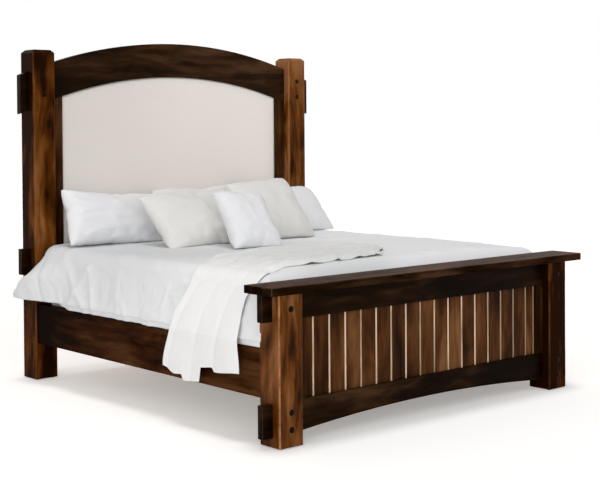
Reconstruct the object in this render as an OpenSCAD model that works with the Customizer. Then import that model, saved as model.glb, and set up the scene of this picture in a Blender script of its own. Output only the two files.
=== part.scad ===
// Timber bed with an upholstered headboard, dressed with a duvet, pillows and a throw.
// Millimetres. X runs along the footboard, Y from foot to head, Z up from the floor.
// The origin is under the middle of the bed, on the floor.

/* [Mattress and base] */
// Width of the mattress
mattress_w = 1930; // [1800:5:1960]
// Length of the mattress
mattress_l = 2032; // [1900:2:2140]
// Thickness of the mattress
mattress_h = 250; // [220:5:290]
// Height of the two base halves under the mattress
foundation_h = 229; // [200:1:250]
// Gap between mattress side and side rail
side_room = 37; // [20:1:50]
// Gap between each end of the mattress and the post faces
end_room = 12.5; // [8:0.5:20]
// Radius of the mattress's top and bottom edges
mattress_edge = 50; // [30:1:60]

/* [Posts] */
// Side of the square posts
post_w = 146; // [135:1:155]
// Height of the headboard posts
head_post_h = 1926; // [1850:1:2000]
// Height of the footboard posts, up to the cap
foot_post_h = 712; // [690:1:735]
// Eased long edges of the posts
post_ease = 7; // [2:0.5:10]
// Chamfer around the headboard posts' tops
post_top_chamfer = 20; // [8:1:28]
// Thickness of the glides under the posts
glide_t = 4; // [2:0.5:6]

/* [Rails that pass through the posts] */
// Thickness of the headboard and footboard rails
rail_t = 38; // [32:1:44]
// Distance from a post's front face back to the rail's front face
rail_set = 49; // [40:1:55]
// Length of tenon that stands out past the post
tenon_out = 60; // [40:1:70]
// Chamfer on the tenon ends
tenon_chamfer = 5; // [2:0.5:8]
// Eased long edges of rails and stiles
rail_ease = 2.5; // [1:0.5:4]
// Diameter of the domed pegs
peg_d = 30; // [22:1:34]
// Height of the domed peg heads
peg_dome = 6; // [3:0.5:9]

/* [Headboard] */
// Depth of the arched rail, measured along its radius
arch_depth = 208; // [180:1:230]
// Height of the arch's crown above the post tops
arch_above_posts = 66; // [40:1:90]
// Rise of the arch between the two posts
arch_rise = 141; // [110:1:170]
// Top edge of the lower headboard rail
head_rail_top = 765; // [740:1:790]
// Height of the lower headboard rail
head_rail_h = 150; // [120:1:170]
// Width of the headboard stiles
head_stile_w = 75; // [50:1:100]
// Depth of the upholstery's edge behind the rails' front
pad_recess = 18; // [12:1:22]
// How far the upholstery's middle stands in front of its edge
pad_crown = 14; // [8:1:20]
// Thickness of the board that carries the upholstery
pad_board_t = 9; // [6:0.5:12]
// Thickness of the panel behind the frame
back_panel_t = 12; // [9:0.5:15]

/* [Footboard] */
// Height of the footboard's top rail
foot_rail_h = 130; // [110:1:150]
// Top edge of the footboard's bottom rail
foot_low_top = 203; // [190:1:215]
// Underside of the bottom rail at its middle
foot_low_mid = 98; // [85:1:110]
// Rise of the arch cut under the bottom rail
foot_arch_rise = 43; // [30:1:48]
// Underside of the bottom rail's tenons
foot_low_end = 48; // [40:1:52]
// Width of the footboard stiles
foot_stile_w = 50; // [35:1:70]
// Width of the narrow plank at each side, with its strip
edge_plank_w = 71.5; // [50:0.5:90]
// Thickness of the planks
plank_t = 14; // [12:0.5:15]
// Depth of the planks behind the rails' front
plank_recess = 22; // [16:1:23]
// Width of the pale strips between the planks
strip_w = 9; // [6:0.5:12]
// How far the strips stand in front of the planks
strip_out = 1; // [0.5:0.5:2]
// Depth of the grooves that hold the planks
groove = 10; // [6:1:14]
// Thickness of the footboard cap
cap_t = 38; // [30:1:44]
// Overhang of the cap past the posts at each side
cap_side = 80; // [72:1:95]
// Overhang of the cap in front of the posts
cap_front = 45; // [30:1:55]
// Overhang of the cap behind the posts
cap_back = 12; // [6:1:16]

/* [Side rails and slats] */
// Thickness of the side rails
side_rail_t = 35; // [32:1:40]
// Height of the side rails
side_rail_h = 229; // [210:1:250]
// Underside of the side rails above the floor
side_rail_z = 217; // [200:1:230]
// Distance from a post's outer face in to the side rail
side_rail_set = 10.5; // [5:0.5:16]
// Width of the cleats inside the side rails
cleat_w = 25; // [20:1:32]
// Height of the cleats
cleat_h = 38; // [30:1:45]
// Number of slats
slat_count = 9; // [6:1:13]
// Width of a slat
slat_w = 89; // [60:1:100]
// Thickness of a slat
slat_t = 19; // [16:1:25]
// Width of the centre beam
beam_w = 38; // [30:1:45]
// Height of the centre beam
beam_h = 89; // [75:1:100]
// Side of the square centre legs
leg_w = 64; // [60:1:76]
// Distance from the bed's middle to each centre leg
leg_y = 520; // [300:10:700]
// Diameter of the levellers' stems
stem_d = 10; // [8:0.5:12]
// Diameter of the levellers' feet
foot_d = 38; // [30:1:50]
// Thickness of the levellers' feet
foot_t = 8; // [5:0.5:10]
// Room above the levellers' feet for screwing them in
foot_room = 20; // [16:1:24]

/* [Bed rail fittings and screws] */
// Thickness of the steel plates
plate_t = 3; // [2:0.5:4]
// Width of the steel plates
plate_w = 25; // [22:1:28]
// Height of the steel plates
plate_h = 150; // [148:1:180]
// Thickness of the hooks
hook_t = 3; // [2:0.5:4]
// Shank diameter of the wood screws
screw_d = 4; // [3:0.5:5]
// Head diameter of the wood screws
screw_head_d = 8; // [7:0.5:9]

/* [Bedding] */
// Thickness of the duvet
duvet_t = 22; // [14:1:26]
// How far the duvet swells towards the foot
duvet_crown = 26; // [10:1:32]
// Height of the duvet's hem above the floor
duvet_hem = 474; // [465:1:500]
// Slope of the duvet's hanging sides, in degrees
duvet_slope = 15; // [8:1:17]
// Depth of the duvet's hanging folds
duvet_fold = 9; // [0:1:12]
// Thickness of the throw
throw_t = 9; // [6:1:11]
// Depth of the throw's hanging folds
throw_fold = 11; // [0:1:14]
// Width of the widest pillow
pillow_w = 692; // [640:1:700]
// Height of the tallest pillow
pillow_h = 450; // [400:5:455]
// Thickness of the fullest pillow
pillow_t = 200; // [160:5:205]
// Clearance that soft pieces keep from their neighbours
soft_gap = 0.4; // [0.3:0.1:0.8]

/* [Hidden] */
$fn = 64;
cut = 1;
fit = 0.3;
plank_count = 17;

// Places across the bed
side_in = mattress_w / 2 + side_room;
side_out = side_in + side_rail_t;
post_out = side_out + side_rail_set;
post_x = post_out - post_w / 2;
post_in = post_out - post_w;
tenon_x = post_out + tenon_out;
cap_l = 2 * (post_out + cap_side);
side_mid = (side_in + side_out) / 2;

// Places along the bed
rail_l = mattress_l + 2 * end_room;
total_y = cap_front + post_w + rail_l + post_w;
foot_face = cap_front - total_y / 2;
foot_inner = foot_face + post_w;
head_face = foot_inner + rail_l;
head_rail_y = head_face + rail_set;
foot_rail_y = foot_face + rail_set;
mattress_y0 = foot_inner + end_room;
mattress_y1 = mattress_y0 + mattress_l;
mid_y = (foot_inner + head_face) / 2;
cap_back_y = foot_inner + cap_back;

// Heights
slat_z = side_rail_z + cleat_h;
slat_top = slat_z + slat_t;
mattress_z = slat_top + foundation_h;
mattress_top = mattress_z + mattress_h;
beam_z = slat_z - beam_h;
cap_top = foot_post_h + cap_t;
head_rail_z = head_rail_top - head_rail_h;
foot_rail_z = foot_post_h - foot_rail_h;

// Arched rail: two circles about one centre
arch_r = (pow(post_in, 2) + pow(arch_rise, 2)) / (2 * arch_rise);
arch_top = head_post_h + arch_above_posts;
arch_zc = arch_top - arch_r;
arch_r_in = arch_r - arch_depth;
function arch_z(x, r) = arch_zc + sqrt(r * r - x * x);
arch_mid_z = arch_z(post_x, arch_r - arch_depth / 2);

// Arch under the footboard's bottom rail
low_r = (pow(post_in, 2) + pow(foot_arch_rise, 2)) / (2 * foot_arch_rise);

// Pegs: heights on the head posts and on the foot posts
arch_peg = 52;
head_rail_peg = 35;
foot_low_peg = 40;
foot_peg_up = 57;
head_peg_zs = [
  arch_mid_z + arch_peg, arch_mid_z - arch_peg,
  head_rail_z + head_rail_h / 2 + head_rail_peg, head_rail_z + head_rail_h / 2 - head_rail_peg
];
foot_low_peg_z = (foot_low_end + foot_low_top) / 2 - 2;
foot_peg_zs = [foot_rail_z + foot_peg_up, foot_low_peg_z + foot_low_peg, foot_low_peg_z - foot_low_peg];
peg_depth = rail_set + rail_t + 8;
foot_top_chamfer = 0.5;

// Footboard panel
panel_x = post_in - foot_stile_w;
plank_pitch = (2 * panel_x - 2 * edge_plank_w) / (plank_count - 2);
plank_y = foot_rail_y + plank_recess;
plank_z0 = foot_low_top - groove + fit;
plank_z1 = foot_rail_z + groove - fit;
function plank_edge(i) =
  i == 0 ? -panel_x :
  i == plank_count ? panel_x :
  -panel_x + edge_plank_w + (i - 1) * plank_pitch;

// Steel fittings: heights about the middle of the side rail
plate_z = side_rail_z + side_rail_h / 2;
hook_zs = [25, -50];
hook_neck = 20;
hook_lip = 7;
hook_reach = 12;
plate_screw_zs = [66, 0, -66];
plate_screw_l = 30;
cleat_screw_l = 45;
cleat_screws = 4;
leg_screw_l = 28;
panel_screw_l = back_panel_t + rail_t - 14;
pad_screw_l = back_panel_t + pad_board_t - 2;

// Glides
glide_d = 22;
glide_in = 24;
nail_d = 2.5;
nail_l = 15;

// Headboard panel: the upholstery, its board, the panel behind it and their screws
pad_x = post_in - head_stile_w;
pad_gap = 1;
pad_room = 2;
pad_back_y = head_rail_y + rail_t - pad_board_t;
pad_cols = 16;
pad_rows = 10;
panel_y = head_rail_y + rail_t + back_panel_t;
panel_x_half = post_in - 2;
panel_lap = 60;
screw_xs = [-0.8, -0.4, 0, 0.4, 0.8];
stile_screw_zs = [for (k = [1:3]) head_rail_top + k * (arch_mid_z - arch_depth - head_rail_top) / 4];
pad_screw_x = 620;
pad_screw_zs = [
  head_rail_top + 120, (head_rail_top + arch_top - arch_depth) / 2, arch_mid_z - arch_depth
];

// Centre legs
leg_z = foot_t + foot_room;
leg_lap = 60;
stem_l = 75;

// Base halves and mattress
base_corner = 40;
base_edge = 12;
mattress_corner = 70;

// Duvet: its cross-section runs from one hem up the side, around the mattress's edge,
// across the top and down to the other hem
duvet_r = mattress_edge + soft_gap;
duvet_flat = mattress_w / 2 - mattress_edge;
duvet_zc = mattress_top - mattress_edge;
duvet_yc = mattress_y0 + mattress_edge;
duvet_y1 = head_face - peg_dome - 3;
duvet_turn = 90 - duvet_slope;
duvet_side_z = duvet_zc + duvet_r * cos(duvet_turn);
duvet_side_x = duvet_flat + duvet_r * sin(duvet_turn);
duvet_side_s = [1, 0.7, 0.4, 0.15];
duvet_cols = 16;
duvet_rows = 33;
duvet_tuck = 57;
edge_bow = 1.2;
tuck_bow = 1.024;
duvet_thin = 0.3;
tuck_rows = 3;
puff_end_y = mid_y + 130;
puff_l = 700;
swing_l = 260;
post_room = 3;
flap_rows = 3;
flap_cols = 3;
flap_l = post_w - 12 + peg_dome;
flap_flare = 50;
flap_start_s = 0.42;
flap_end_s = 0.66;
bed_z = duvet_zc + duvet_r + duvet_t;

// Throw: places of its two edges along the bed, at the bed's edge, at the hem and on top
throw_cols = 28;
throw_side_rows = 8;
throw_arc_rows = 2;
throw_top_rows = 8;
throw_rows = throw_side_rows + throw_arc_rows + throw_top_rows;
throw_side_z = duvet_side_z + duvet_t * sin(duvet_slope);
throw_y0 = foot_inner + 0.0807 * mattress_l;
throw_y1 = foot_inner + 0.2884 * mattress_l;
throw_hem_y0 = foot_inner + 0.0512 * mattress_l;
throw_hem_y1 = foot_inner + 0.3514 * mattress_l;
throw_top_y0 = foot_inner + 0.0571 * mattress_l;
throw_top_y1 = foot_inner + 0.4754 * mattress_l;
throw_end_x = 0.057 * mattress_w;
throw_end_cut = 0.114 * mattress_w;
throw_hem_near = side_rail_z + 0.4236 * side_rail_h;
throw_hem_far = side_rail_z + 0.0917 * side_rail_h;

// Pillows: rows from the headboard towards the foot, and the planes between them
pillow_cols = 10;
pillow_rows = 8;
pillow_pinch = 0.07;
pillow_seam = 4;
pillow_sink = 12;
plane_gap = 2;
rest_gap = 0.6;
press_share = 0.02;
row1_y = head_face - 0.1142 * mattress_l;
row2_y = head_face - 0.3268 * mattress_l;
row3_y = head_face - 0.4729 * mattress_l;
row_split_left = head_face - 0.2023 * mattress_l;
row_split_right = head_face - 0.249 * mattress_l;
row_split_front = head_face - 0.4114 * mattress_l;
back_split_left = -0.272 * duvet_flat;
back_split_right = 0.462 * duvet_flat;
front_split = 0.042 * duvet_flat;

// A block whose twelve edges are chamfered
module eased(x, y, z, e) {
  intersection() {
    linear_extrude(z) chamfered(x, y, e);
    translate([0, y, 0]) rotate([90, 0, 0]) linear_extrude(y) chamfered(x, z, e);
    rotate([90, 0, 90]) linear_extrude(x) chamfered(y, z, e);
  }
}

module chamfered(x, y, e) {
  polygon([[e, 0], [x - e, 0], [x, e], [x, y - e], [x - e, y], [e, y], [0, y - e], [0, e]]);
}

// Left and right pieces: the left one has a side of -1
module on_side(side) {
  if (side < 0) mirror([1, 0, 0]) children();
  else children();
}

// The arched rail's outline between two radii, out to a half-width
module arch_outline(r_out, r_in, half_w) {
  intersection() {
    translate([0, arch_zc]) difference() {
      circle(r_out, $fn = 720);
      circle(r_in, $fn = 720);
    }
    translate([-half_w, arch_top - 3 * arch_depth]) square([2 * half_w, 4 * arch_depth]);
  }
}

// Stands an outline drawn in X and Z upright, its front face at y
module upright(y, t) {
  translate([0, y + t, 0]) rotate([90, 0, 0]) linear_extrude(t) children();
}

// Chamfers the two ends of a rail: what is left lies inside this block
module tenon_ends(y, t, z0, z1) {
  translate([0, 0, z0]) linear_extrude(z1 - z0)
    translate([-tenon_x, y]) chamfered(2 * tenon_x, t, tenon_chamfer);
}

// Round holes that run back from a front face
module peg_holes(face, zs) {
  for (z = zs)
    translate([post_x, face - cut, z]) rotate([-90, 0, 0])
      cylinder(d = peg_d + fit, h = peg_depth + cut + fit);
}

module pegs(face, zs) {
  dome_r = (pow(peg_d / 2, 2) + pow(peg_dome, 2)) / (2 * peg_dome);
  for (side = [-1, 1], z = zs)
    translate([side * post_x, face, z]) rotate([90, 0, 0]) {
      translate([0, 0, -peg_depth]) cylinder(d = peg_d, h = peg_depth);
      intersection() {
        translate([0, 0, peg_dome - dome_r]) sphere(dome_r);
        cylinder(d = peg_d, h = peg_dome + cut);
      }
    }
}

// Corners of a post where the glides sit
module glide_places() {
  for (x = [glide_in, post_w - glide_in], y = [glide_in, post_w - glide_in])
    translate([x, y, 0]) children();
}

module post_blank(h, top) {
  translate([0, 0, glide_t]) difference() {
    intersection() {
      linear_extrude(h - glide_t) chamfered(post_w, post_w, post_ease);
      translate([0, post_w, 0]) rotate([90, 0, 0]) linear_extrude(post_w) post_side(h - glide_t, top);
      rotate([90, 0, 90]) linear_extrude(post_w) post_side(h - glide_t, top);
    }
    glide_places() translate([0, 0, -cut]) cylinder(d = nail_d + fit, h = nail_l + cut + fit, $fn = 24);
  }
}

module post_side(h, top) {
  foot_ease = 3;
  polygon([
    [foot_ease, 0], [post_w - foot_ease, 0], [post_w, foot_ease], [post_w, h - top],
    [post_w - top, h], [top, h], [0, h - top], [0, foot_ease]
  ]);
}

// Recess and pocket for a steel plate in a post's face, and its screw holes.
// Local frame: +Y runs into the wood, the face is at y = 0.
module plate_recess() {
  translate([-plate_w / 2 - fit, -cut, -plate_h / 2 - fit])
    cube([plate_w + 2 * fit, plate_t + cut, plate_h + 2 * fit]);
}

module hook_pocket() {
  for (z = hook_zs)
    translate([-hook_t / 2 - 1, 0, z - hook_lip - 2])
      cube([hook_t + 2, plate_t + hook_reach + 2, hook_neck + hook_lip + 14]);
}

module screw(l) {
  head_l = (screw_head_d - screw_d) / 2;
  rotate([-90, 0, 0]) {
    cylinder(d1 = screw_head_d, d2 = screw_d, h = head_l, $fn = 24);
    cylinder(d = screw_d, h = l, $fn = 24);
  }
}

// Clearance hole for a screw, opened out for its head
module screw_hole(l) {
  d = screw_d + fit;
  head_d = screw_head_d + fit;
  rotate([-90, 0, 0]) {
    translate([0, 0, -cut]) cylinder(d = d, h = l + cut + fit, $fn = 24);
    cylinder(d1 = head_d, d2 = d, h = (head_d - d) / 2, $fn = 24);
    translate([0, 0, -cut]) cylinder(d = head_d, h = cut, $fn = 24);
  }
}

module plate_screws() {
  for (z = plate_screw_zs) translate([0, 0, z]) children();
}

// The four rail ends, each with +Y running into the post
module at_post_faces() {
  for (side = [-1, 1]) {
    translate([side * side_mid, head_face, plate_z]) children();
    translate([side * side_mid, foot_inner, plate_z]) rotate([0, 0, 180]) children();
  }
}

module head_post(side) {
  color([0.40, 0.23, 0.13]) on_side(side) difference() {
    translate([post_in, head_face, 0]) post_blank(head_post_h, post_top_chamfer);
    upright(head_rail_y - fit, rail_t + 2 * fit)
      arch_outline(arch_r + fit, arch_r_in - fit, tenon_x);
    translate([post_in - cut, head_rail_y - fit, head_rail_z - fit])
      cube([post_w + 2 * cut, rail_t + 2 * fit, head_rail_h + 2 * fit]);
    peg_holes(head_face, head_peg_zs);
    translate([side_mid, head_face, plate_z]) {
      plate_recess();
      hook_pocket();
      plate_screws() screw_hole(plate_screw_l);
    }
  }
}

module foot_post(side) {
  color([0.40, 0.23, 0.13]) on_side(side) difference() {
    translate([post_in, foot_face, 0]) post_blank(foot_post_h, foot_top_chamfer);
    translate([post_in - cut, foot_rail_y - fit, foot_rail_z - fit])
      cube([post_w + 2 * cut, rail_t + 2 * fit, foot_rail_h + cut]);
    translate([post_in - cut, foot_rail_y - fit, foot_low_end - fit])
      cube([post_w + 2 * cut, rail_t + 2 * fit, foot_low_top - foot_low_end + 2 * fit]);
    peg_holes(foot_face, foot_peg_zs);
    translate([side_mid, foot_inner, plate_z]) rotate([0, 0, 180]) {
      plate_recess();
      hook_pocket();
      plate_screws() screw_hole(plate_screw_l);
    }
  }
}

module rail_peg_holes(face, zs) {
  for (side = [-1, 1]) on_side(side) peg_holes(face, zs);
}

module arch_rail() {
  color([0.13, 0.08, 0.05]) difference() {
    intersection() {
      upright(head_rail_y, rail_t) arch_outline(arch_r, arch_r_in, tenon_x);
      tenon_ends(head_rail_y, rail_t, arch_top - 3 * arch_depth, arch_top + cut);
    }
    rail_peg_holes(head_face, [head_peg_zs[0], head_peg_zs[1]]);
    panel_screw_places(true) panel_hole();
  }
}

module head_lower_rail() {
  color([0.13, 0.08, 0.05]) difference() {
    translate([-tenon_x, head_rail_y, head_rail_z])
      eased(2 * tenon_x, rail_t, head_rail_h, rail_ease);
    rail_peg_holes(head_face, [head_peg_zs[2], head_peg_zs[3]]);
    panel_screw_places(false) panel_hole();
  }
}

// Stiles stand on the lower rail, and their tops follow the arch
module head_stile(side) {
  color([0.24, 0.13, 0.08]) on_side(side) difference() {
    translate([post_in - head_stile_w, head_rail_y, head_rail_top])
      cube([head_stile_w - fit, rail_t, arch_top - head_rail_top]);
    upright(head_rail_y - cut, rail_t + 2 * cut)
      arch_outline(arch_r + arch_depth, arch_r_in - fit, tenon_x);
    for (z = stile_screw_zs)
      translate([post_in - head_stile_w / 2, 0, z]) panel_hole();
  }
}

// Screws that hold the back panel: along the arch, along the lower rail and up the stiles
module panel_screw_places(upper) {
  for (k = screw_xs) {
    x = k * post_in;
    z = upper ? arch_z(x, arch_r_in + panel_lap / 2) : head_rail_top - panel_lap / 2;
    translate([x, 0, z]) children();
  }
}

module from_back() {
  translate([0, panel_y, 0]) rotate([0, 0, 180]) children();
}

module panel_hole() {
  from_back() screw_hole(panel_screw_l);
}

// Screws through the back panel into the board that carries the upholstery
module pad_screw_places() {
  for (x = [-pad_screw_x, 0, pad_screw_x], z = pad_screw_zs) translate([x, 0, z]) children();
}

module pad_outline(gap) {
  intersection() {
    translate([0, arch_zc]) circle(arch_r_in - gap, $fn = 720);
    translate([-pad_x + gap, head_rail_top + gap])
      square([2 * (pad_x - gap), arch_top - head_rail_top]);
  }
}

module head_pad_board() {
  color([0.72, 0.58, 0.40]) difference() {
    upright(pad_back_y, pad_board_t) pad_outline(pad_gap);
    pad_screw_places() from_back() screw_hole(pad_screw_l);
  }
}

module head_back_panel() {
  color([0.30, 0.18, 0.11]) difference() {
    upright(head_rail_y + rail_t, back_panel_t) intersection() {
      translate([0, arch_zc]) circle(arch_r_in + panel_lap, $fn = 720);
      translate([-panel_x_half, head_rail_top - panel_lap])
        square([2 * panel_x_half, arch_top - head_rail_top + panel_lap]);
    }
    panel_screw_places(true) panel_hole();
    panel_screw_places(false) panel_hole();
    for (side = [-1, 1], z = stile_screw_zs)
      translate([side * (post_in - head_stile_w / 2), 0, z]) panel_hole();
    pad_screw_places() from_back() screw_hole(pad_screw_l);
  }
}

module head_pegs() {
  color([0.08, 0.06, 0.06]) pegs(head_face, head_peg_zs);
}

module foot_pegs() {
  color([0.08, 0.06, 0.06]) pegs(foot_face, foot_peg_zs);
}

module post_glides() {
  color([0.07, 0.07, 0.07])
    for (side = [-1, 1], y = [head_face, foot_face]) on_side(side)
      translate([post_in, y, 0]) glide_places() {
        cylinder(d = glide_d, h = glide_t);
        cylinder(d = nail_d, h = glide_t + nail_l, $fn = 24);
      }
}

// Groove that takes the planks and strips
module plank_groove(z0, z1) {
  translate([-panel_x, plank_y - strip_out - fit, z0])
    cube([2 * panel_x, plank_t + strip_out + 2 * fit, z1 - z0]);
}

module foot_top_rail() {
  color([0.13, 0.08, 0.05]) difference() {
    translate([-tenon_x, foot_rail_y, foot_rail_z])
      eased(2 * tenon_x, rail_t, foot_rail_h, rail_ease);
    plank_groove(foot_rail_z - cut, foot_rail_z + groove);
    rail_peg_holes(foot_face, [foot_peg_zs[0]]);
  }
}

module foot_bottom_rail() {
  color([0.13, 0.08, 0.05]) difference() {
    translate([-tenon_x, foot_rail_y, foot_low_end])
      eased(2 * tenon_x, rail_t, foot_low_top - foot_low_end, rail_ease);
    upright(foot_rail_y - cut, rail_t + 2 * cut) intersection() {
      translate([0, foot_low_mid - low_r]) circle(low_r, $fn = 1440);
      translate([-post_in, 0]) square([2 * post_in, foot_low_mid + cut]);
    }
    plank_groove(foot_low_top - groove, foot_low_top + cut);
    rail_peg_holes(foot_face, [foot_peg_zs[1], foot_peg_zs[2]]);
  }
}

module foot_stile(side) {
  color([0.27, 0.15, 0.09]) on_side(side)
    translate([panel_x + fit, foot_rail_y, foot_low_top + fit])
      eased(foot_stile_w - 2 * fit, rail_t, foot_rail_z - foot_low_top - 2 * fit, 1);
}

// Plank number i, counted from the left, with room for a strip at both edges
module foot_plank(i) {
  left = plank_edge(i) + (i == 0 ? strip_w : strip_w / 2) + fit / 2;
  right = plank_edge(i + 1) - (i == plank_count - 1 ? strip_w : strip_w / 2) - fit / 2;
  tone = 0.5 + 0.5 * sin(137 * i);
  color([0.34 + 0.10 * tone, 0.19 + 0.05 * tone, 0.10 + 0.03 * tone])
    translate([left, plank_y, plank_z0])
      eased(right - left, plank_t, plank_z1 - plank_z0, 1.5);
}

module foot_strips() {
  color([0.80, 0.68, 0.56])
    for (i = [0:plank_count]) {
      x = i == 0 ? plank_edge(0) + strip_w / 2 :
          i == plank_count ? plank_edge(i) - strip_w / 2 : plank_edge(i);
      translate([x - strip_w / 2 + fit / 2, plank_y - strip_out, plank_z0])
        cube([strip_w - fit, plank_t + strip_out, plank_z1 - plank_z0]);
    }
}

module foot_cap() {
  color([0.15, 0.09, 0.06])
    translate([-cap_l / 2, foot_face - cap_front, foot_post_h])
      eased(cap_l, cap_front + post_w + cap_back, cap_t, 4);
}

module side_rail(side) {
  color([0.26, 0.14, 0.08]) on_side(side) difference() {
    translate([side_in, foot_inner, side_rail_z])
      eased(side_rail_t, rail_l, side_rail_h, 2);
    for (end = [-1, 1])
      translate([side_mid, end < 0 ? foot_inner : head_face, plate_z])
        rotate([0, 0, end < 0 ? 0 : 180]) {
          plate_recess();
          plate_screws() screw_hole(plate_screw_l);
        }
    cleat_screw_places() screw_hole(cleat_screw_l);
  }
}

// Cleat screws on the right-hand rail, running outwards
module cleat_screw_places() {
  for (k = [0:cleat_screws - 1])
    translate([side_in - cleat_w, foot_inner + (k + 0.5) * rail_l / cleat_screws, side_rail_z + cleat_h / 2])
      rotate([0, 0, -90]) children();
}

module rail_cleats() {
  cleat_end = 20;
  color([0.72, 0.56, 0.38])
    for (side = [-1, 1]) on_side(side) difference() {
      translate([side_in - cleat_w, foot_inner + cleat_end, side_rail_z])
        cube([cleat_w, rail_l - 2 * cleat_end, cleat_h]);
      cleat_screw_places() screw_hole(cleat_screw_l);
    }
}

// Hooked plates let into the rail ends
module rail_hook_plates() {
  color([0.55, 0.55, 0.58]) at_post_faces() {
    difference() {
      translate([-plate_w / 2, -plate_t, -plate_h / 2]) cube([plate_w, plate_t, plate_h]);
      plate_screws() rotate([0, 0, 180]) screw_hole(plate_screw_l);
    }
    for (z = hook_zs)
      translate([-hook_t / 2, 0, z]) rotate([90, 0, 90]) linear_extrude(hook_t)
        polygon([
          [-plate_t / 2, 0], [plate_t + 0.5, 0], [plate_t + 0.5, -hook_lip], [hook_reach, -hook_lip],
          [hook_reach, hook_neck - 6], [hook_reach - 6, hook_neck], [-plate_t / 2, hook_neck]
        ]);
  }
}

// Slotted plates let into the post faces
module post_hook_plates() {
  color([0.55, 0.55, 0.58]) at_post_faces() difference() {
    translate([-plate_w / 2, 0, -plate_h / 2]) cube([plate_w, plate_t, plate_h]);
    plate_screws() screw_hole(plate_screw_l);
    for (z = hook_zs)
      translate([-hook_t / 2 - 0.5, -cut, z - fit])
        cube([hook_t + 1, plate_t + 2 * cut, hook_neck + hook_lip + 3]);
  }
}

module wood_screws() {
  sunk = 0.15;
  color([0.62, 0.60, 0.55]) {
    at_post_faces() plate_screws() {
      translate([0, sunk, 0]) screw(plate_screw_l - sunk);
      rotate([0, 0, 180]) translate([0, sunk, 0]) screw(plate_screw_l - sunk);
    }
    for (side = [-1, 1]) on_side(side)
      cleat_screw_places() translate([0, sunk, 0]) screw(cleat_screw_l - sunk);
    panel_screw_places(true) from_back() translate([0, sunk, 0]) screw(panel_screw_l - sunk);
    panel_screw_places(false) from_back() translate([0, sunk, 0]) screw(panel_screw_l - sunk);
    for (side = [-1, 1], z = stile_screw_zs)
      translate([side * (post_in - head_stile_w / 2), 0, z]) from_back()
        translate([0, sunk, 0]) screw(panel_screw_l - sunk);
    pad_screw_places() from_back() translate([0, sunk, 0]) screw(pad_screw_l - sunk);
    leg_screw_places() translate([0, sunk, 0]) screw(leg_screw_l - sunk);
  }
}

module slats() {
  slat_end = 2;
  pitch = (rail_l - 60 - slat_w) / (slat_count - 1);
  color([0.76, 0.62, 0.43])
    for (k = [0:slat_count - 1])
      translate([-side_in + slat_end, foot_inner + 30 + k * pitch, slat_z])
        eased(2 * (side_in - slat_end), slat_w, slat_t, 1.5);
}

// Both cheeks of each centre leg are screwed to the beam
module leg_screw_places() {
  for (y = [-leg_y, leg_y], side = [-1, 1])
    translate([side * leg_w / 2, mid_y + y, beam_z + 30]) rotate([0, 0, side * 90]) children();
}

module centre_beam() {
  color([0.72, 0.56, 0.38]) difference() {
    translate([-beam_w / 2, foot_inner + 25, beam_z]) eased(beam_w, rail_l - 50, beam_h, 1.5);
    leg_screw_places() screw_hole(leg_screw_l);
  }
}

module centre_leg(y) {
  color([0.72, 0.56, 0.38]) difference() {
    translate([-leg_w / 2, mid_y + y - leg_w / 2, leg_z])
      eased(leg_w, leg_w, beam_z + leg_lap - leg_z, 2);
    translate([-beam_w / 2 - fit, mid_y + y - leg_w, beam_z])
      cube([beam_w + 2 * fit, 2 * leg_w, leg_lap + cut]);
    translate([0, mid_y + y, leg_z - cut]) cylinder(d = stem_d + 0.1, h = stem_l + cut);
    leg_screw_places() screw_hole(leg_screw_l);
  }
}

module leveller(y) {
  color([0.35, 0.35, 0.37]) translate([0, mid_y + y, 0]) {
    cylinder(d1 = foot_d, d2 = foot_d - 6, h = foot_t);
    cylinder(d = stem_d, h = foot_t + stem_l - 2);
  }
}

// A closed skin between an outer and an inner grid of points, both given row by row
module skin(outer, inner, nu, nv) {
  n = (nu + 1) * (nv + 1);
  function at(i, j) = j * (nu + 1) + i;
  loop = concat(
    [for (i = [0:nu - 1]) at(i, 0)],
    [for (j = [0:nv - 1]) at(nu, j)],
    [for (i = [nu:-1:1]) at(i, nv)],
    [for (j = [nv:-1:1]) at(0, j)]
  );
  m = len(loop);
  polyhedron(
    points = concat(outer, inner),
    faces = concat(
      [for (j = [0:nv - 1], i = [0:nu - 1]) [at(i, j), at(i, j + 1), at(i + 1, j + 1)]],
      [for (j = [0:nv - 1], i = [0:nu - 1]) [at(i, j), at(i + 1, j + 1), at(i + 1, j)]],
      [for (j = [0:nv - 1], i = [0:nu - 1]) [n + at(i, j), n + at(i + 1, j + 1), n + at(i, j + 1)]],
      [for (j = [0:nv - 1], i = [0:nu - 1]) [n + at(i, j), n + at(i + 1, j), n + at(i + 1, j + 1)]],
      [for (k = [0:m - 1]) [loop[k], loop[(k + 1) % m], n + loop[(k + 1) % m]]],
      [for (k = [0:m - 1]) [loop[k], n + loop[(k + 1) % m], n + loop[k]]]
    )
  );
}

function smooth(t) = let (c = min(1, max(0, t))) c * c * (3 - 2 * c);
function mix(a, b, t) = a + (b - a) * t;

// Upholstered headboard panel: flat on its board, crowned in front, edges drawn in
function pad_point(i, j, crown) =
  let (
    u = 2 * i / pad_cols - 1,
    v = j / pad_rows,
    x = sin(90 * u) * (pad_x - pad_room),
    z0 = head_rail_top + pad_room,
    z = mix(z0, arch_z(x, arch_r_in - pad_room), (1 - cos(180 * v)) / 2),
    lift = (1 - pow(abs(sin(90 * u)), 8)) * (1 - pow(abs(cos(180 * v)), 8))
  )
  [x, crown ? head_rail_y + pad_recess - pad_crown * lift : pad_back_y, z];

module head_upholstery() {
  color([0.88, 0.85, 0.80]) skin(
    [for (j = [0:pad_rows], i = [0:pad_cols]) pad_point(i, j, true)],
    [for (j = [0:pad_rows], i = [0:pad_cols]) pad_point(i, j, false)],
    pad_cols, pad_rows
  );
}

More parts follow.
